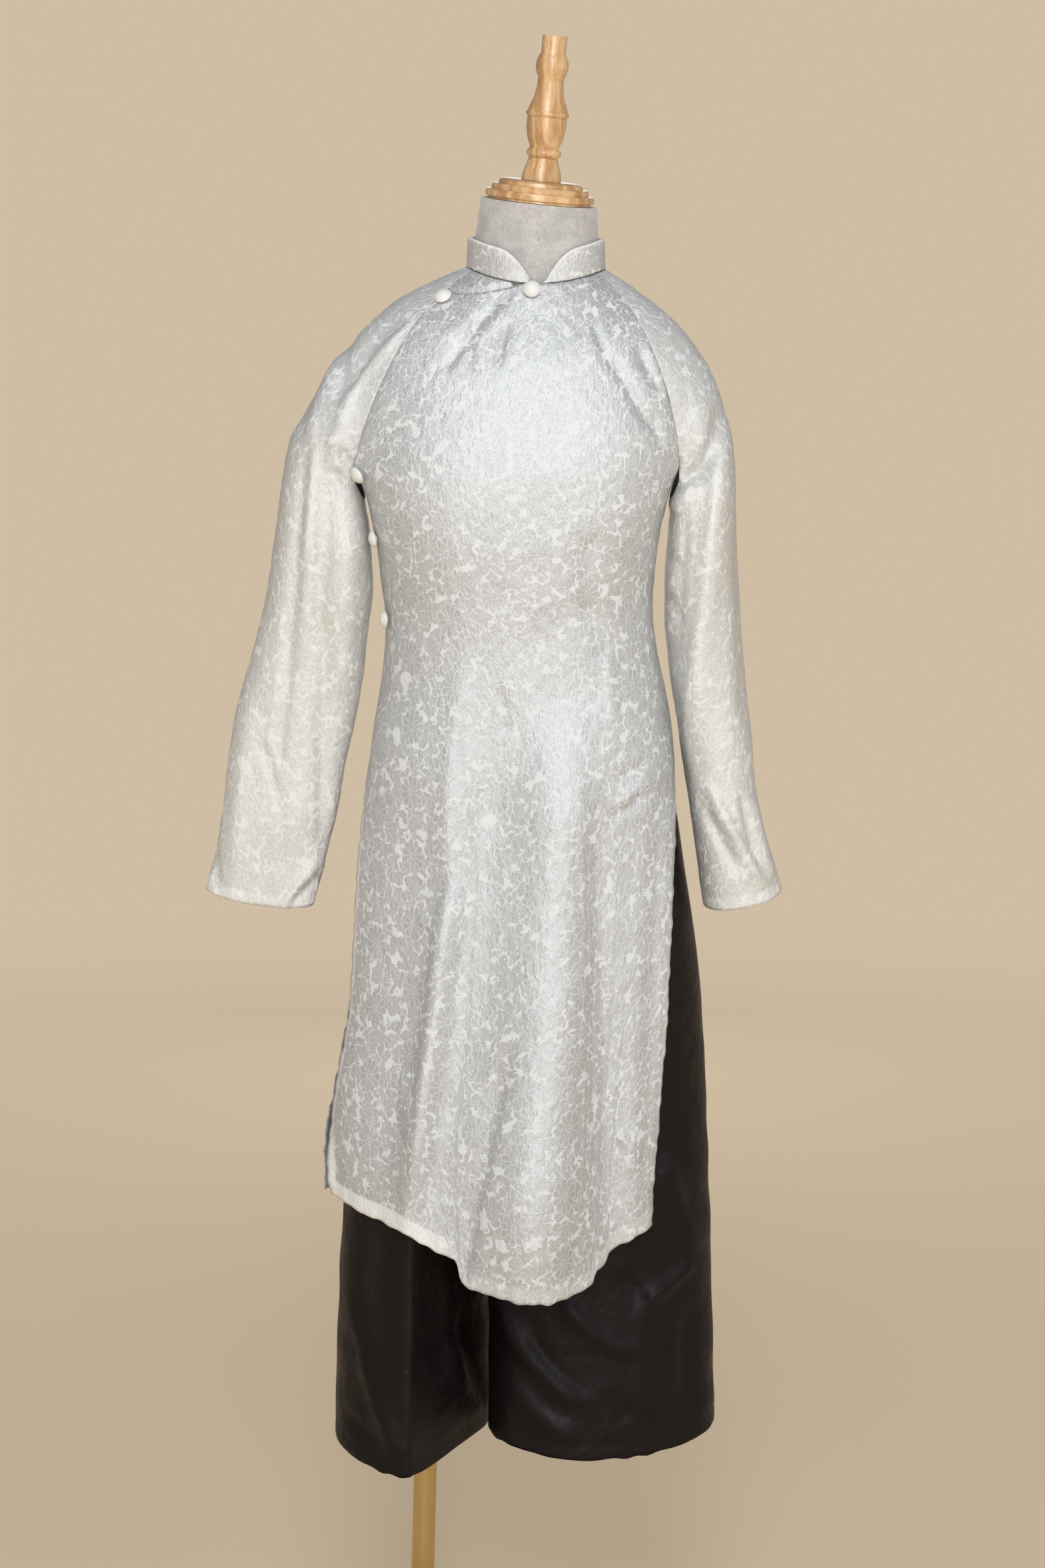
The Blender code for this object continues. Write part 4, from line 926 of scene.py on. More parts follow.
HEM_BAND = 0.017
SLIT_BAND = 0.006
FRONT_CREASES = [
    Crease(0.036, 0.890, 0.000, 0.580, 0.003, 0.014, 0.008, 0.0075),
    Crease(0.000, 1.000, -0.030, 0.560, 0.004, 0.034, 0.036, -0.0050),
    Crease(0.090, 1.060, 0.011, 0.495, 0.000, 0.046, 0.023, -0.0130),
    Crease(0.100, 0.720, 0.049, 0.480, 0.004, 0.006, 0.016, -0.0065),
    Crease(0.156, 1.040, 0.128, 0.480, -0.003, 0.038, 0.044, 0.0150),
    Crease(0.186, 1.010, 0.174, 0.500, -0.002, 0.016, 0.012, -0.0018),
    Crease(0.240, 1.000, 0.222, 0.560, -0.004, 0.012, 0.012, 0.0012),
    Crease(0.252, 0.960, 0.236, 0.560, -0.002, 0.010, 0.014, -0.0030),
    Crease(0.170, 0.985, 0.172, 0.500, 0.000, 0.003, 0.003, 0.0012),
    Crease(0.178, 0.930, 0.179, 0.500, 0.001, 0.003, 0.003, 0.0013),
    Crease(0.182, 0.900, 0.186, 0.520, -0.003, 0.005, 0.006, 0.0014),
    Crease(0.004, 0.860, 0.026, 0.849, 0.000, 0.004, 0.005, 0.0022),
    Crease(0.203, 0.966, 0.241, 0.990, 0.002, 0.005, 0.007, -0.0024),
    Crease(0.206, 0.975, 0.243, 1.002, 0.001, 0.006, 0.005, 0.0022),
    Crease(0.212, 1.003, 0.240, 1.018, 0.000, 0.005, 0.006, -0.0018),
    Crease(0.102, 1.499, 0.036, 1.420, 0.004, 0.005, 0.007, -0.0038),
    Crease(0.066, 1.476, 0.060, 1.418, 0.002, 0.004, 0.005, -0.0024),
    Crease(0.098, 1.466, 0.088, 1.424, 0.002, 0.005, 0.005, -0.0034),
    Crease(0.206, 1.430, 0.246, 1.360, 0.002, 0.005, 0.007, -0.0046),
    Crease(0.232, 1.440, 0.264, 1.386, 0.002, 0.005, 0.006, -0.0044),
    Crease(0.255, 1.434, 0.275, 1.402, 0.001, 0.003, 0.005, -0.0024),
    Crease(0.186, 1.464, 0.204, 1.420, 0.001, 0.005, 0.006, -0.0028),
    Crease(0.247, 1.376, 0.254, 1.340, 0.001, 0.004, 0.005, -0.0022),
    Crease(-0.040, 0.819, -0.024, 0.837, 0.000, 0.004, 0.005, -0.0018),
    Crease(-0.013, 0.700, -0.004, 0.622, 0.002, 0.006, 0.005, 0.0022),
    Crease(0.203, 0.700, 0.217, 0.626, 0.001, 0.005, 0.006, 0.0020),
    Crease(0.212, 0.637, 0.236, 0.603, 0.000, 0.004, 0.005, 0.0020),
    Crease(0.096, 1.202, 0.090, 1.174, 0.001, 0.005, 0.006, -0.0016),
    Crease(0.056, 1.130, 0.034, 0.915, 0.006, 0.008, 0.012, 0.0026),
    Crease(0.089, 1.100, 0.098, 1.050, 0.002, 0.007, 0.006, -0.0022),
    Crease(0.183, 1.250, 0.178, 1.160, 0.002, 0.012, 0.014, -0.0026),
    Crease(0.178, 1.190, 0.204, 1.126, 0.001, 0.007, 0.009, -0.0024),
    Crease(0.201, 1.132, 0.206, 1.060, 0.001, 0.006, 0.007, 0.0022),
]
COLUMNS = 150
YOKE_ROWS = 66
ARMHOLE_ROWS = 8
BODY_ROWS = 226
START_ROW = YOKE_ROWS + ARMHOLE_ROWS


def panel_grid(facing, top, columns, body_rows):
    """Points of a whole panel, from its top edge to its hem."""
    across = np.linspace(0.0, 1.0, columns + 1)[None, :]
    yoke = np.linspace(0.0, 1.0, YOKE_ROWS + 1)[:, None]
    rows = [mix(top(across), 1.0, yoke)]
    lower = np.concatenate([1 + np.arange(1, ARMHOLE_ROWS + 1) / ARMHOLE_ROWS,
                            2 + np.arange(1, body_rows + 1) / body_rows])
    rows.append(np.broadcast_to(lower[:, None], (len(lower), columns + 1)))
    down = np.concatenate(rows, axis=0)
    return panel_point(np.broadcast_to(across, down.shape), down, facing)


def hem_waves(points, cut, amount, waves):
    """Lets the free edges wander a little, as a hand-felled hem does."""
    bottom, side = edge_distance(cut)
    free = ease((SLIT_TOP - points[..., 2]) / 0.08)
    at_side = np.exp(-side / 0.012) * free
    at_hem = np.exp(-bottom / 0.014)
    along = points[..., 2]
    wave = sum(np.sin(along * rate + phase) for rate, phase in waves) / len(waves)
    points[..., 0] += amount * at_side * wave
    amount = amount * 2.2
    wave = sum(np.sin(points[..., 0] * rate + phase) for rate, phase in waves) / len(waves)
    points[..., 2] += amount * 0.6 * at_hem * wave
    points[..., 1] += amount * at_hem * wave
    return points


EDGE_WAVES = [(61.0, 0.3), (149.0, 1.7), (233.0, 4.0), (377.0, 2.2)]
PANEL_SETTLING = 40
SOFT_SWELL = 0.0007
FINE_SWELL = 0.00034
SEAM_LIFT = 0.15
SEAM_WIDTH = 0.02


def creased_panel(facing, top, columns, body_rows, creases, wander):
    """A panel's creased points, its cut, its distances from hem and side, and where it is slit."""
    points = settle(panel_grid(facing, top, columns, body_rows), PANEL_SETTLING)
    outward = normals_of(points)
    outward *= np.where(facing * outward[..., 1:2] > 0, -1.0, 1.0)
    cut = cut_of(points, columns // 2, START_ROW)
    lift = crease_height(points, creases)
    lift += ripple(points, SOFT_SWELL, SOFT_WAVES) + ripple(points, FINE_SWELL, FINE_WAVES)
    bottom, side = edge_distance(cut)
    lift *= mix(SEAM_LIFT, 1.0, ease(side / SEAM_WIDTH))
    points = hem_waves(points + outward * lift[..., None], cut, wander, EDGE_WAVES)
    slit = ease((SLIT_TOP - points[..., 2]) / 0.02)
    return points, cut, bottom, side, slit


# The front's right edge turns forward in a small lip above the hem, where its narrow hem curls over
# and shows wider. Hems show plain and pale, most of all on the right.
FRONT_WANDER = 0.0012
LIP_Z = 0.572
LIP_HALF = 0.040
LIP_WIDTH = 0.010
LIP_TURN = np.array([-0.005, -0.009, 0.0])
CURL_Z = 0.590
CURL_HALF = 0.032
CURL_WIDTH = 0.009
HEM_EDGE = 0.0015
SLIT_EDGE = 0.0012
EDGE_TURN = 0.002
LEFT_HEM_PALE = 0.35
PALE_ENDS = (0.30, 0.40)
points, cut, bottom, side, slit = creased_panel(1, front_top, COLUMNS, BODY_ROWS, FRONT_CREASES,
                                                FRONT_WANDER)
lip = (np.exp(-((points[..., 2] - LIP_Z) / LIP_HALF) ** 2)
       * np.exp(-((cut[..., 0] - cut[:, :1, 0]) / LIP_WIDTH) ** 2))
points += lip[..., None] * LIP_TURN
share = np.linspace(0.0, 1.0, COLUMNS + 1)[None, :]
curled = CURL_WIDTH * np.exp(-((points[..., 2] - CURL_Z) / CURL_HALF) ** 2)
turned_edge = np.where(share < 0.5, SLIT_BAND + EDGE_TURN + curled, SLIT_BAND - EDGE_TURN)
fading = (share - PALE_ENDS[0]) / (PALE_ENDS[1] - PALE_ENDS[0])
band = np.maximum(mix(1.0, LEFT_HEM_PALE, ease(fading))
                  * (1 - ease((bottom - HEM_BAND) / HEM_EDGE)),
                  slit * (1 - ease((side - turned_edge) / SLIT_EDGE)))
front = hang("front_silk", points, cut, ivory, band)
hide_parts("front_panel")

BACK_CREASES = [
    Crease(0.150, 1.060, 0.190, 0.560, 0.004, 0.014, 0.026, 0.0070),
    Crease(0.060, 1.040, 0.020, 0.540, 0.008, 0.024, 0.012, 0.0075),
    Crease(0.110, 0.980, 0.100, 0.520, 0.002, 0.016, 0.016, -0.0065),
    Crease(-0.020, 0.900, -0.050, 0.560, 0.003, 0.012, 0.010, -0.0040),
    Crease(0.225, 0.930, 0.232, 0.600, 0.002, 0.008, 0.010, -0.0024),
    Crease(0.020, 1.430, -0.010, 1.370, 0.002, 0.005, 0.006, -0.0026),
    Crease(0.215, 1.430, 0.243, 1.372, 0.002, 0.005, 0.006, -0.0026),
    Crease(0.080, 1.160, 0.060, 1.090, 0.003, 0.007, 0.009, -0.0022),
    Crease(0.150, 1.170, 0.168, 1.080, 0.003, 0.009, 0.007, -0.0026),
    Crease(0.010, 1.120, 0.050, 1.096, 0.002, 0.005, 0.006, -0.0018),
    Crease(0.180, 0.800, 0.215, 0.760, 0.002, 0.005, 0.006, -0.0016),
]
BACK_COLUMNS = 110
BACK_ROWS = 180
BACK_WANDER = 0.0020
BACK_HEM_PALE = 0.6


def back_top(across):
    """The back's top edge follows the neck seam."""
    return NECK_START + 0 * across


points, cut, bottom, side, slit = creased_panel(-1, back_top, BACK_COLUMNS, BACK_ROWS,
                                                BACK_CREASES, BACK_WANDER)
band = BACK_HEM_PALE * np.maximum(1 - ease((bottom - HEM_BAND) / HEM_EDGE),
                                  slit * (1 - ease((side - SLIT_BAND) / SLIT_EDGE)))
back = hang("back_silk", points, cut, ivory, band)
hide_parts("back_panel")

# Underlap: the small right piece under the front's top edge, sewn to the collar and the shoulder.
UNDERLAP_REACH = 0.40
UNDERLAP_TUCK = 0.0020
UNDERLAP_COLUMNS = 60
UNDERLAP_ROWS = 24
share = np.linspace(0.0, 1.0, UNDERLAP_COLUMNS + 1)[None, :] * UNDERLAP_REACH
tuck = np.linspace(0.0, 1.0, UNDERLAP_ROWS + 1)[:, None]
edge = front_top(share)
first = mix(NECK_START, edge + 0.03, ease((share - 0.33) / 0.07))
down = mix(first, edge + 0.10, tuck)
share = np.broadcast_to(share, down.shape)
points = panel_point(share, down, 1)
inward = at_point(NECK_X, 0.0, points[..., 2] - 0.02) - points
inward /= np.linalg.norm(inward, axis=-1, keepdims=True)
points += inward * (UNDERLAP_TUCK * ease((down - edge + 0.05) / 0.05))[..., None]
lap = hang("underlap_silk", points, cut_of(points, UNDERLAP_COLUMNS // 2, 0), ivory)
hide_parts("underlap")

# Raglan sleeves: each runs from the collar seam over the shoulder and is closed under the arm.
# They hang empty, so they fall in long soft folds and flatten towards the cuff.
# Painted light: the sleeves' satin floats keep their own darker tone but are tinted warmer than the
# front's, and their ground turns warm below the shoulders, for warm light on and through the empty
# sleeves.
SLEEVE_SATIN_PAINTED_WARM = (0.580, 0.576, 0.565, 1.0)
IVORY_PAINTED_WARM_LIGHT = (0.765, 0.750, 0.715, 1.0)
sleeve_silk = silk("ivory_jacquard_sleeve", GROUND_IVORY, SLEEVE_SATIN_PAINTED_WARM, 0.62, IVORY_PAINTED_WARM_LIGHT)
CUFF_DIP = 0.014
SLEEVE_AROUND = 84
SLEEVE_UNDER = 26
SLEEVE_YOKE = 62
SLEEVE_TUBE = 128
UNDERARM_GAP = 0.0036
CROWN_DROP = 0.030
UNDERARM_RISE = 0.022


def sleeve_grid(side):
    """A sleeve's points: a strip over the shoulder, then a tube that closes under the arm."""
    table = ARM_TABLES[side]
    away = -1 if side == "right" else 1
    down = np.linspace(NECK_START, 1.0, SLEEVE_YOKE + 1)[:, None]
    share = 2 * np.linspace(0.0, 1.0, SLEEVE_AROUND + 1)[None, :] - 1
    angle = -seam_angle(down) * share
    upper = yoke_point(np.broadcast_to(down, angle.shape),
                       angle if side == "right" else math.pi - angle)
    lower = armpit(side, -ARM_CORNER * share)
    crown = YOKE[-1].right_z if side == "right" else YOKE[-1].left_z
    rise = np.maximum(np.cos(ARM_CORNER * share), 0.0) ** 1.5
    lower[..., 2] = mix(lower[..., 2], crown, rise)
    strip = mix(upper, lower, blend_to_armhole(down)[..., None])
    last = strip[-1]
    dip_share = (np.arange(1, SLEEVE_UNDER + 1) / (SLEEVE_UNDER + 1))[:, None]
    under = mix(last[-1], last[0], dip_share)
    dip = np.sin(math.pi * dip_share[:, 0])
    body = BODY[0].right if side == "right" else BODY[0].left
    under[:, 0] = mix(under[:, 0], body + away * UNDERARM_GAP, dip)
    under[:, 2] = mix(under[:, 2], UNDERARM_Z - 0.001, dip)
    spare = np.broadcast_to(under[None], (SLEEVE_YOKE + 1,) + under.shape)
    head = np.concatenate([strip, spare, strip[:, :1]], axis=1)
    z = mix(table[0].z, table[-1].z, (np.arange(1, SLEEVE_TUBE + 1) / SLEEVE_TUBE)[:, None] ** 0.95)
    outer = ARM_CORNER - np.arange(SLEEVE_AROUND + 1) * 2 * ARM_CORNER / SLEEVE_AROUND
    inner = (-ARM_CORNER - np.arange(1, SLEEVE_UNDER + 2)
             * (2 * math.pi - 2 * ARM_CORNER) / (SLEEVE_UNDER + 1))
    turn = np.concatenate([outer, inner])[None, :]
    tube = arm_ring(table, np.broadcast_to(z, (SLEEVE_TUBE, turn.shape[1])), turn)
    settled = ease((table[0].z - z) / 0.09)
    tube[..., 2] += (1 - settled) * CROWN_DROP * np.maximum(np.cos(turn), 0.0) ** 1.5
    tube[..., 2] -= (1 - settled) * UNDERARM_RISE * np.maximum(-np.cos(turn), 0.0)
    low = ease((0.93 - z) / 0.06)
    tube[..., 2] += low * CUFF_DIP * (np.cos(turn) - np.sin(turn)) * 0.6
    return np.concatenate([head, tube], axis=0)


def outward_of(points, axis_x, axis_y, drop=0.0):
    """Unit normals, turned away from the point of a tube's axis that lies a drop lower."""
    outward = normals_of(points)
    away = points - at_point(axis_x, axis_y, points[..., 2] - drop)
    return outward * np.where((outward * away).sum(axis=-1, keepdims=True) < 0, -1.0, 1.0)


def crease_both_sides(points, outward, near, far):
    """How far the near side's and the far side's creases lift each point, faded at the sides."""
    facing = -outward[..., 1] / 0.35
    return (crease_height(points, near) * ease(0.5 + facing)
            + crease_height(points, far) * ease(0.5 - facing))


SLEEVE_SETTLING = 30
SLEEVE_SWELL = 0.0009
SLEEVE_FINE_SWELL = 0.0003
CUFF_BAND = 0.012
CUFF_PALE = 0.4


def sleeve_piece(name, side, creases, far_creases):
    """A creased sleeve. Its creases fade out at the raglan seams, which stay where they are."""
    points = settle(sleeve_grid(side), SLEEVE_SETTLING)
    middle = read(ARM_TABLES[side], points[..., 2])
    outward = outward_of(points, (middle.outer + middle.inner) / 2, middle.y, 0.06)
    lift = crease_both_sides(points, outward, creases, far_creases)
    lift += ripple(points, SLEEVE_SWELL, SOFT_WAVES) + ripple(points, SLEEVE_FINE_SWELL, FINE_WAVES)
    cut = cut_of(points, SLEEVE_AROUND // 2, SLEEVE_YOKE)
    bottom = cut[..., 1] - cut[-1:, :, 1]
    seam = np.ones(points.shape[:2])
    distance = np.minimum(np.arange(SLEEVE_AROUND + 1), np.arange(SLEEVE_AROUND + 1)[::-1])
    seam[:SLEEVE_YOKE + 1, :SLEEVE_AROUND + 1] = ease(distance / 8.0)[None, :]
    seam[:SLEEVE_YOKE + 1, SLEEVE_AROUND + 1:] = 0.0
    rows = np.arange(points.shape[0])[:, None]
    seam = np.maximum(seam, ease((rows - SLEEVE_YOKE) / 8.0))
    points = points + outward * (lift * seam)[..., None]
    points[SLEEVE_YOKE:, -1] = points[SLEEVE_YOKE:, 0]
    band = CUFF_PALE * (1 - ease((bottom - CUFF_BAND) / SLIT_EDGE))
    piece = hang(name, points, cut, sleeve_silk, band,
                 lambda row, column: row < SLEEVE_YOKE and column >= SLEEVE_AROUND)
    return piece


RIGHT_SLEEVE_CREASES = [
    Crease(0.014, 1.474, -0.066, 1.392, 0.006, 0.006, 0.005, 0.0045),
    Crease(-0.060, 1.400, -0.085, 1.300, 0.004, 0.007, 0.006, 0.0050),
    Crease(-0.015, 1.472, -0.074, 1.394, 0.004, 0.010, 0.010, -0.0058),
    Crease(-0.060, 1.462, -0.078, 1.392, 0.003, 0.005, 0.004, -0.0045),
    Crease(-0.040, 1.488, -0.108, 1.340, 0.010, 0.008, 0.006, 0.0040),
    Crease(-0.086, 1.325, -0.098, 1.140, 0.001, 0.006, 0.007, -0.0055),
    Crease(-0.102, 1.340, -0.112, 1.225, 0.002, 0.006, 0.006, 0.0030),
    Crease(-0.109, 1.335, -0.132, 1.100, 0.001, 0.007, 0.008, -0.0050),
    Crease(-0.066, 1.250, -0.074, 1.090, 0.002, 0.014, 0.012, 0.0060),
    Crease(-0.128, 1.115, -0.141, 1.008, 0.001, 0.005, 0.007, -0.0035),
    Crease(-0.159, 1.032, -0.143, 0.978, -0.001, 0.004, 0.005, -0.0028),
    Crease(-0.139, 0.975, -0.137, 0.900, 0.000, 0.004, 0.004, -0.0020),
    Crease(-0.090, 1.150, -0.098, 0.930, 0.002, 0.008, 0.008, -0.0045),
    Crease(-0.104, 0.908, -0.142, 0.856, 0.001, 0.010, 0.005, 0.0050),
    Crease(-0.100, 0.895, -0.132, 0.860, 0.001, 0.006, 0.005, -0.0040),
    Crease(-0.211, 0.925, -0.209, 0.880, 0.000, 0.005, 0.004, -0.0030),
    Crease(-0.170, 1.080, -0.190, 0.900, 0.003, 0.010, 0.012, 0.0035),
    Crease(-0.075, 1.345, -0.062, 1.322, 0.001, 0.004, 0.004, -0.0035),
    Crease(-0.088, 1.352, -0.066, 1.338, 0.001, 0.004, 0.004, 0.0030),
    Crease(-0.082, 1.318, -0.060, 1.300, 0.001, 0.004, 0.005, -0.0030),
]
LEFT_SLEEVE_CREASES = [
    Crease(0.319, 1.378, 0.290, 1.305, -0.006, 0.006, 0.010, -0.0090),
    Crease(0.262, 1.300, 0.292, 1.318, 0.001, 0.006, 0.006, -0.0080),
    Crease(0.266, 1.276, 0.290, 1.300, 0.002, 0.007, 0.007, 0.0040),
    Crease(0.318, 1.360, 0.286, 1.040, 0.002, 0.016, 0.008, 0.0085),
    Crease(0.280, 1.275, 0.270, 1.110, 0.001, 0.008, 0.008, -0.0050),
    Crease(0.336, 1.260, 0.346, 1.050, 0.001, 0.008, 0.008, -0.0040),
    Crease(0.306, 0.990, 0.364, 0.884, 0.000, 0.005, 0.007, 0.0050),
    Crease(0.300, 0.968, 0.335, 0.905, 0.000, 0.006, 0.006, -0.0045),
    Crease(0.352, 0.975, 0.374, 0.892, 0.001, 0.005, 0.005, 0.0040),
    Crease(0.340, 0.985, 0.358, 0.910, 0.001, 0.004, 0.005, -0.0035),
    Crease(0.262, 1.240, 0.272, 1.215, 0.001, 0.004, 0.005, -0.0030),
    Crease(0.262, 1.190, 0.274, 1.160, 0.001, 0.004, 0.005, -0.0030),
    Crease(0.270, 1.100, 0.284, 0.980, 0.002, 0.006, 0.006, -0.0040),
]
FAR_RIGHT_CREASES = [
    Crease(-0.075, 1.440, -0.110, 1.300, 0.004, 0.008, 0.010, -0.0040),
    Crease(-0.080, 1.300, -0.120, 0.980, 0.006, 0.012, 0.012, 0.0045),
    Crease(-0.130, 1.200, -0.170, 0.920, -0.003, 0.010, 0.010, -0.0035),
]
FAR_LEFT_CREASES = [
    Crease(0.300, 1.430, 0.312, 1.290, 0.004, 0.008, 0.010, -0.0040),
    Crease(0.300, 1.300, 0.315, 0.960, -0.005, 0.012, 0.012, 0.0045),
    Crease(0.330, 1.180, 0.350, 0.920, 0.003, 0.010, 0.010, -0.0035),
]
sleeve = sleeve_piece("sleeve_right_silk", "right", RIGHT_SLEEVE_CREASES, FAR_RIGHT_CREASES)
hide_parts("sleeve_right")
sleeve = sleeve_piece("sleeve_left_silk", "left", LEFT_SLEEVE_CREASES, FAR_LEFT_CREASES)
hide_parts("sleeve_left")

# Mandarin collar: two layers of the silk over a stiffening, 31 mm high, with rounded front corners
# and a narrow edge piping. It is sewn into the neck seam.
COLLAR_HEIGHT = 0.031
COLLAR_OPENING = 0.0075
COLLAR_ROUNDING = 0.036
COLLAR_CORNER = 0.05
PIPING = 0.0028
PIPING_GROOVE = 0.0006
COLLAR_LEAN = 0.0012
COLLAR_WALL = 0.0012
COLLAR_GROUND = (0.74, 0.735, 0.72, 1.0)
COLLAR_SATIN = (0.57, 0.57, 0.565, 1.0)
COLLAR_CROWDING = 0.72
COLLAR_SIDE = 0.0715
COLLAR_MIDDLE = 0.1285
COLLAR_COLUMNS = 240
COLLAR_ROWS = 18
turn = np.linspace(-1.0, 1.0, COLLAR_COLUMNS + 1)
turn = power(turn, COLLAR_CROWDING)
angle = -math.pi / 2 + turn * (math.pi - math.asin(COLLAR_OPENING / COLLAR_SIDE))
seam = yoke_point(0.0 * angle, angle)
inward = at_point(NECK_X, -0.003, seam[:, 2]) - seam
inward /= np.linalg.norm(inward, axis=-1, keepdims=True)
seam = seam + inward * 0.0006
from_front = np.where(seam[:, 1] < -0.03, np.abs(seam[:, 0] - COLLAR_MIDDLE), 1.0)
rounded = 1 - (1 - np.clip((from_front - COLLAR_OPENING) / COLLAR_ROUNDING, 0, 1)) ** 2.2
tall = COLLAR_HEIGHT * mix(COLLAR_CORNER, 1.0, rounded)
up = np.linspace(1.0, 0.0, COLLAR_ROWS + 1)[:, None]
rise = 0.0005 + tall[None, :] * up
points = np.broadcast_to(seam, (COLLAR_ROWS + 1,) + seam.shape).copy()
from_top = tall[None, :] * (1 - up)
groove = PIPING_GROOVE * np.exp(-((from_top - PIPING) / 0.0009) ** 2)
points += inward * (COLLAR_LEAN * up * tall / COLLAR_HEIGHT + groove)[..., None]
points[..., 2] += rise
cut = cut_of(points, COLLAR_COLUMNS // 2, 0)
collar_silk = silk("ivory_jacquard_collar", COLLAR_GROUND, COLLAR_SATIN, 0.8)
piped = 1 - ease((from_top - PIPING) / 0.0006)
collar = hang("collar_silk", points, cut, collar_silk, piped)
collar.modifiers["Wall"].thickness = COLLAR_WALL
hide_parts("collar")

# Buttons: half balls under plain silk, gathered behind on a short shank, sewn along the front's
# edge from the neck to the waist.
Button = namedtuple("Button", "name across down lift")
BUTTONS = [
    Button("button_neck", 0.478, 0.040, 0.0),
    Button("button_shoulder", 0.035, 0.215, 0.0),
    Button("button_underarm", 0.055, 0.965, 0.0),
    Button("button_side_upper", 0.085, 2.052, 0.0003),
    Button("button_side_waist", 0.090, 2.166, 0.0012),
]
BUTTON_PROFILE = [(0.0, 0.00850), (0.0022, 0.00830), (0.0044, 0.00765), (0.0062, 0.00665),
                  (0.0077, 0.00540), (0.0088, 0.00390), (0.0092, 0.00300), (0.0088, 0.00210),
                  (0.0076, 0.00150), (0.0035, 0.00130), (0.0034, 0.0), (0.0, 0.0)]
BUTTON_STEPS = 40
BUTTON_GAP = 0.0003
PANEL_HALF = 0.0006
PLAIN_DEEP = (0.72, 0.71, 0.685, 1.0)
PLAIN_LIGHT = (0.80, 0.79, 0.765, 1.0)
NEAR_BY = 0.004
plain_silk, tree, shader = finish_named("plain_silk", 0.52)
place = put(tree, "TexCoord").outputs["Object"]
slub = put(tree, "TexNoise", Vector=place, Scale=380.0, Detail=3.0)
tree.links.new(blend_color(tree, slub.outputs["Fac"], PLAIN_DEEP, PLAIN_LIGHT),
               shader.inputs["Base Color"])
roughen(tree, shader, slub.outputs["Fac"], 0.35, 0.0003)
for row in BUTTONS:
    across = np.array([row.across, row.across + NEAR_BY, row.across])
    down = np.array([row.down, row.down, row.down + NEAR_BY])
    point, sideways, downwards = (Vector(p) for p in panel_point(across, down, 1))
    outward = (downwards - point).cross(sideways - point).normalized()
    if outward.y > 0:
        outward.negate()
    start_at = point + outward * (PANEL_HALF + BUTTON_GAP + row.lift)
    turn = outward.to_track_quat("Z", "Y").to_matrix().to_4x4()
    knob = turned(row.name + "_covered", BUTTON_PROFILE, Matrix.Translation(start_at) @ turn,
                  BUTTON_STEPS)
    knob.data.materials.append(plain_silk)
    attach(knob, "root")
    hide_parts(row.name)

# Trousers: wide legs of heavy black satin, pressed flat with a crease down the front of each, on a
# plain band. The tunic hides them to the knees.
Hips = namedtuple("Hips", "z right left middle front back")
HIPS = [
    Hips(1.084, -0.0220, 0.2440, 0.1110, -0.0980, 0.0940),
    Hips(1.050, -0.0350, 0.2600, 0.1100, -0.1030, 0.0995),
    Hips(1.000, -0.0420, 0.2680, 0.1080, -0.1070, 0.1050),
    Hips(0.950, -0.0480, 0.2760, 0.1060, -0.1090, 0.1070),
    Hips(0.880, -0.0530, 0.2860, 0.1030, -0.1110, 0.1090),
    Hips(0.760, -0.0600, 0.3020, 0.0960, -0.1120, 0.1100),
]
Leg = namedtuple("Leg", "z outer inner front back skew inner_round")
LEG_RIGHT = [
    Leg(0.840, -0.0560, 0.0970, -0.1060, 0.1060, 0.000, 2.10),
    Leg(0.740, -0.0620, 0.0890, -0.0980, 0.1010, 0.004, 2.00),
    Leg(0.600, -0.0740, 0.0810, -0.0960, 0.0980, 0.016, 1.70),
    Leg(0.450, -0.0850, 0.0780, -0.0980, 0.0970, 0.028, 1.45),
    Leg(0.270, -0.0910, 0.0790, -0.1000, 0.0960, 0.034, 1.35),
]
LEG_LEFT = [
    Leg(0.840, 0.2960, 0.1000, -0.1040, 0.1060, 0.000, 2.10),
    Leg(0.740, 0.3040, 0.0930, -0.0960, 0.1010, -0.004, 2.10),
    Leg(0.600, 0.3110, 0.0850, -0.0900, 0.0950, -0.014, 2.10),
    Leg(0.450, 0.3160, 0.0780, -0.0880, 0.0920, -0.024, 2.10),
    Leg(0.270, 0.3210, 0.0760, -0.0860, 0.0900, -0.030, 2.10),
]
LEG_TABLES = {"right": LEG_RIGHT, "left": LEG_LEFT}
LEG_CORNER = math.radians(135)
CROTCH_TOP = 0.840
CROTCH_DIP = 0.040
HEM_SAG = 0.016
LEG_ROUND = 2.1
LEG_HEM = {"right": 0.280, "left": 0.292}
PRESSED_CREASE = {"right": 0.014, "left": 0.006}
BAND_TOP = 1.112
LEG_AROUND = 110
LEG_INSIDE = 34
HIP_ROWS = 50
LEG_ROWS = 150

SATIN_BLACK = (0.0044, 0.0026, 0.0030, 1.0)
SATIN_WARM = (0.0090, 0.0050, 0.0058, 1.0)
satin, tree, shader = finish_named("black_satin", 0.42)
shader.inputs["Specular IOR Level"].default_value = 0.21
cut = put(tree, "UVMap", {"uv_map": "cut"}).outputs[0]
threads = put(tree, "Mapping", _0=cut)
threads.inputs["Scale"].default_value = (1.0, 0.05, 1.0)
thread = put(tree, "TexNoise", Vector=threads.outputs[0], Scale=1500.0, Detail=2.0)
mottle = put(tree, "TexNoise", Vector=cut, Scale=26.0, Detail=3.0)
tree.links.new(blend_color(tree, mottle.outputs["Fac"], SATIN_BLACK, SATIN_WARM),
               shader.inputs["Base Color"])
tree.links.new(fade(tree, mottle.outputs["Fac"], 0.3, 0.7, 0.44, 0.56), shader.inputs["Roughness"])
crinkle = put(tree, "TexNoise", Vector=cut, Scale=48.0, Detail=3.0, Roughness=0.55)
crinkled = put(tree, "Bump", Strength=0.5, Distance=0.0045,
               Height=crinkle.outputs["Fac"])
bump = put(tree, "Bump", Strength=0.2, Distance=0.0002, Height=thread.outputs["Fac"],
           Normal=crinkled.outputs[0])
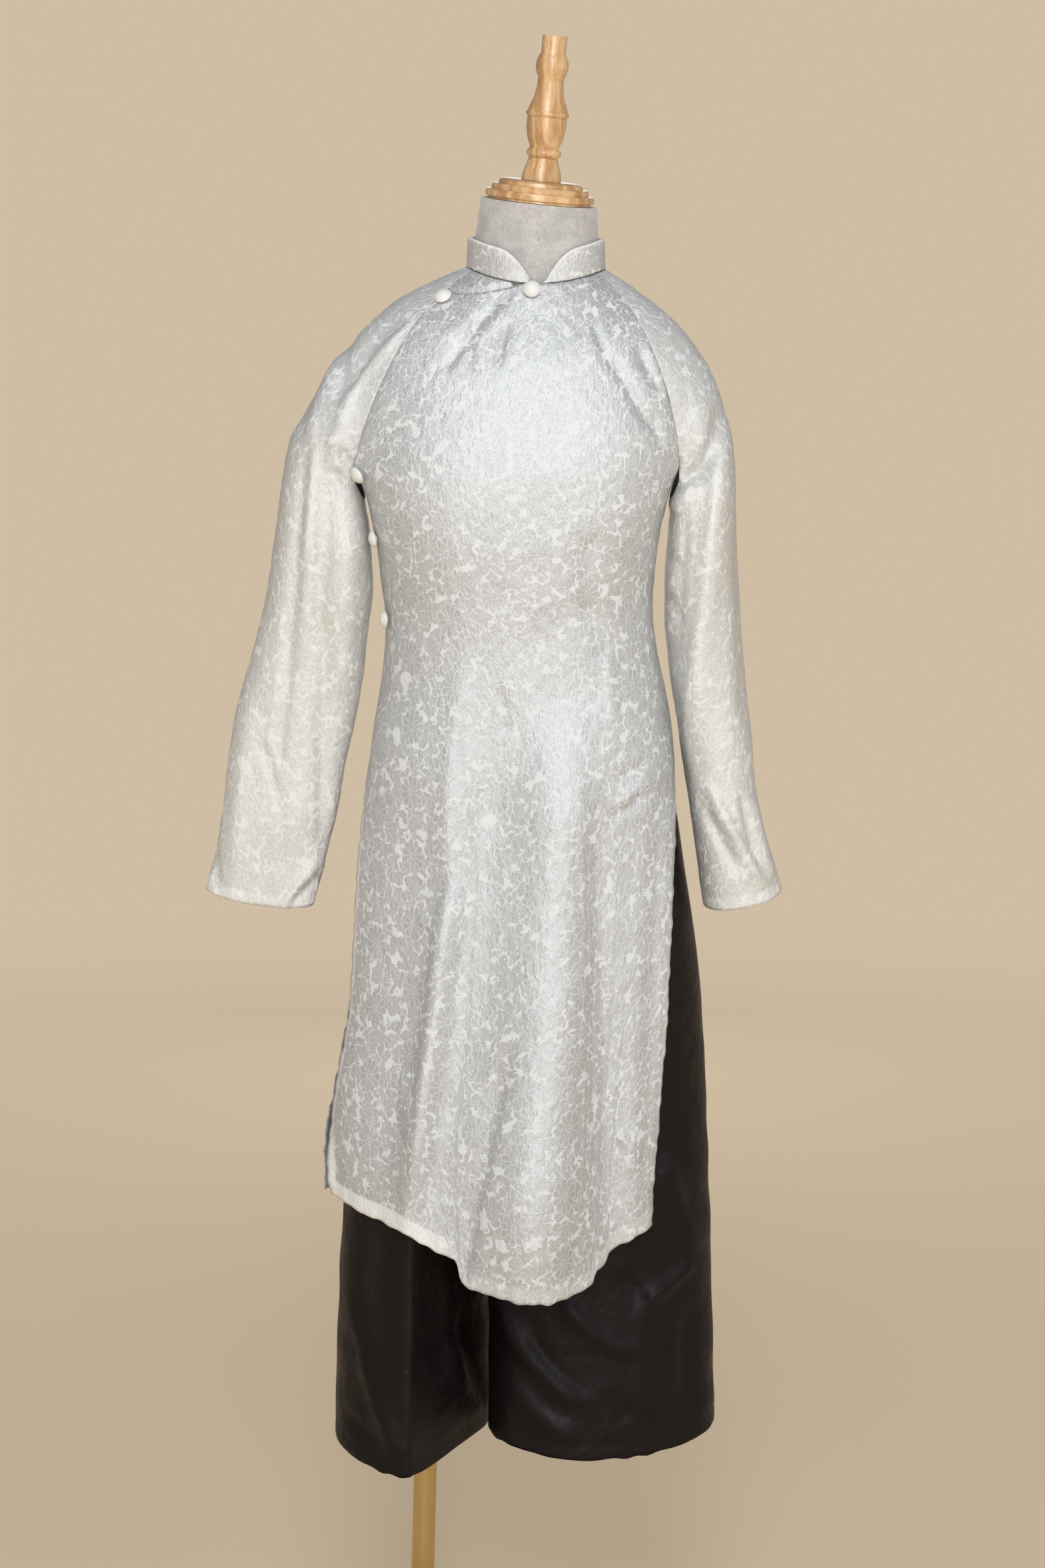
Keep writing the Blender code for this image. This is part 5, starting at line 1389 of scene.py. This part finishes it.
tree.links.new(bump.outputs[0], shader.inputs["Normal"])


def leg_grid(side):
    """A leg's points: half of the hips, then a tube that closes at the crotch."""
    table = LEG_TABLES[side]
    away = -1 if side == "right" else 1
    levels = np.concatenate([np.linspace(HIPS[0].z, CROTCH_TOP, HIP_ROWS + 1),
                             np.linspace(CROTCH_TOP, LEG_HEM[side], LEG_ROWS + 1)[1:]])
    z = levels[:, None]
    hips = read(HIPS, z)
    leg = read(table, z)
    outer = hips.right if side == "right" else hips.left
    settled = ease((0.90 - z) / 0.16)
    share = 1 - 2 * np.linspace(0.0, 1.0, LEG_AROUND + 1)[None, :]
    turn = share * math.pi / 2
    x = hips.middle + away * 0.0003
    x = x + (outer - hips.middle) * power(np.cos(turn), 2 / HIP_ROUND)
    y = -np.where(turn > 0, -hips.front, hips.back) * power(np.sin(turn), 2 / HIP_ROUND)
    outside = at_point(x, y, z)
    inside_share = np.arange(1, LEG_INSIDE + 2)[None, :] / (LEG_INSIDE + 1)
    inside = at_point(hips.middle + away * 0.0012, mix(hips.back, hips.front, inside_share), z)
    upper = np.concatenate([outside, inside], axis=1)
    angle = np.concatenate([share * LEG_CORNER, -LEG_CORNER - inside_share
                            * 2 * (math.pi - LEG_CORNER)], axis=1)
    middle = (leg.outer + leg.inner) / 2
    half = (leg.outer - leg.inner) / 2
    ahead = np.sin(angle)
    ahead_inner = (ahead > 0) & (np.cos(angle) < 0)
    roundness = np.where(ahead_inner, leg.inner_round, LEG_ROUND)
    x = middle + half * power(np.cos(angle), 2 / roundness)
    y = -np.where(ahead > 0, -leg.front, leg.back) * power(ahead, 2 / roundness)
    y = y + leg.skew * np.maximum(-np.cos(angle), 0.0)
    y = y - PRESSED_CREASE[side] * settled * np.maximum(ahead, 0.0) ** 12
    points = mix(upper, at_point(x, y, z), settled[..., None])
    dip = np.where(z <= CROTCH_TOP, 1 - ease((CROTCH_TOP - z) / 0.18), 0.0)
    points[..., 2] -= CROTCH_DIP * dip * np.maximum(-np.cos(angle), 0.0) ** 0.7
    points[..., 2] -= HEM_SAG * ease((0.45 - z) / 0.17) * np.maximum(ahead, 0.0) ** 2
    return points


LEG_SETTLING = 12
LEG_SWELL = 0.0012
HEM_STITCH_UP = 0.016
HEM_STITCH_DEPTH = 0.0009


def leg_piece(name, side, creases, far_creases):
    """A creased leg, with the shallow groove of its machined hem and a slight pucker below it."""
    points = settle(leg_grid(side), LEG_SETTLING)
    row = read(LEG_TABLES[side], points[..., 2])
    outward = outward_of(points, (row.outer + row.inner) / 2, 0.0)
    lift = crease_both_sides(points, outward, creases, far_creases)
    lift += ripple(points, LEG_SWELL, SOFT_WAVES)
    low = ease((0.80 - points[..., 2]) / 0.12)
    cut = cut_of(points, LEG_AROUND // 2, HIP_ROWS)
    bottom = cut[..., 1] - cut[-1:, :, 1]
    stitched = np.exp(-((bottom - HEM_STITCH_UP) / 0.0016) ** 2)
    lift = lift * low - HEM_STITCH_DEPTH * stitched
    points = points + outward * lift[..., None]
    last = points.shape[1] - 1
    inner = np.minimum(np.arange(last + 1), np.arange(last + 1)[::-1])[None, :]
    pucker = np.exp(-bottom / 0.008) * ease(inner / 8.0)
    wave = np.sin(cut[..., 0] * 131.0 + 3 * np.sin(cut[..., 0] * 47.0))
    points[..., 2] += 0.0010 * pucker * wave
    points[HIP_ROWS:, -1] = points[HIP_ROWS:, 0]
    piece = hang(name, points, cut, satin,
                 skip=lambda row, column: row < HIP_ROWS and column >= LEG_AROUND)
    return piece


RIGHT_LEG_CREASES = [
    Crease(-0.068, 0.440, -0.020, 0.290, 0.004, 0.010, 0.010, 0.0060),
    Crease(-0.075, 0.315, -0.040, 0.292, 0.002, 0.007, 0.009, -0.0050),
    Crease(-0.050, 0.520, -0.060, 0.380, 0.004, 0.014, 0.010, -0.0040),
    Crease(0.030, 0.480, 0.050, 0.330, 0.003, 0.012, 0.012, 0.0050),
    Crease(0.040, 0.420, 0.070, 0.310, 0.002, 0.006, 0.008, -0.0040),
]
LEFT_LEG_CREASES = [
    Crease(0.084, 0.445, 0.182, 0.342, 0.010, 0.010, 0.016, 0.0080),
    Crease(0.120, 0.410, 0.184, 0.348, 0.006, 0.006, 0.008, -0.0060),
    Crease(0.155, 0.450, 0.229, 0.390, 0.005, 0.008, 0.010, 0.0060),
    Crease(0.214, 0.480, 0.243, 0.450, 0.002, 0.008, 0.010, -0.0050),
    Crease(0.240, 0.450, 0.292, 0.482, 0.003, 0.008, 0.010, 0.0060),
    Crease(0.210, 0.352, 0.224, 0.318, 0.002, 0.006, 0.008, -0.0040),
    Crease(0.262, 0.600, 0.295, 0.495, 0.004, 0.010, 0.010, 0.0060),
    Crease(0.250, 0.470, 0.240, 0.330, 0.006, 0.016, 0.012, 0.0050),
    Crease(0.292, 0.430, 0.290, 0.320, 0.003, 0.010, 0.010, -0.0050),
    Crease(0.100, 0.360, 0.170, 0.300, 0.006, 0.010, 0.014, 0.0050),
]
FAR_LEG_CREASES = [
    Crease(-0.050, 0.620, -0.030, 0.320, 0.010, 0.020, 0.014, 0.0060),
    Crease(0.030, 0.600, 0.020, 0.330, 0.006, 0.014, 0.016, -0.0050),
    Crease(0.150, 0.640, 0.190, 0.330, 0.008, 0.016, 0.014, 0.0060),
    Crease(0.250, 0.600, 0.230, 0.320, 0.010, 0.014, 0.018, -0.0050),
    Crease(0.120, 0.420, 0.170, 0.330, 0.006, 0.010, 0.012, 0.0050),
]
leg = leg_piece("leg_right_satin", "right", RIGHT_LEG_CREASES, FAR_LEG_CREASES)
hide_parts("trouser_leg_right")
leg = leg_piece("leg_left_satin", "left", LEFT_LEG_CREASES, FAR_LEG_CREASES)
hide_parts("trouser_leg_left")

WAIST_CLEARANCE = 0.0012
WAIST_COLUMNS = 120
WAIST_ROWS = 14
band_angles = np.linspace(0.0, 2 * math.pi, WAIST_COLUMNS + 1)[None, :]
band_share = np.linspace(0.0, 1.0, WAIST_ROWS + 1)[:, None]
z = mix(BAND_TOP, HIPS[0].z, band_share)
body = read(TORSO, z)
side = power(np.cos(band_angles), 2 / HIP_ROUND)
ahead = power(np.sin(band_angles), 2 / HIP_ROUND)
half = mix(body.half + WAIST_CLEARANCE, (HIPS[0].left - HIPS[0].right) / 2, band_share)
front_y = mix(body.front - WAIST_CLEARANCE, HIPS[0].front, band_share)
back_y = mix(body.back + WAIST_CLEARANCE, HIPS[0].back, band_share)
points = at_point(body.middle - half * side, -np.where(ahead > 0, -front_y, back_y) * ahead, z)
points[:, -1] = points[:, 0]
waist = hang("waistband_satin", points, cut_of(points, WAIST_COLUMNS // 2, 0), satin)
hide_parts("trouser_waistband")
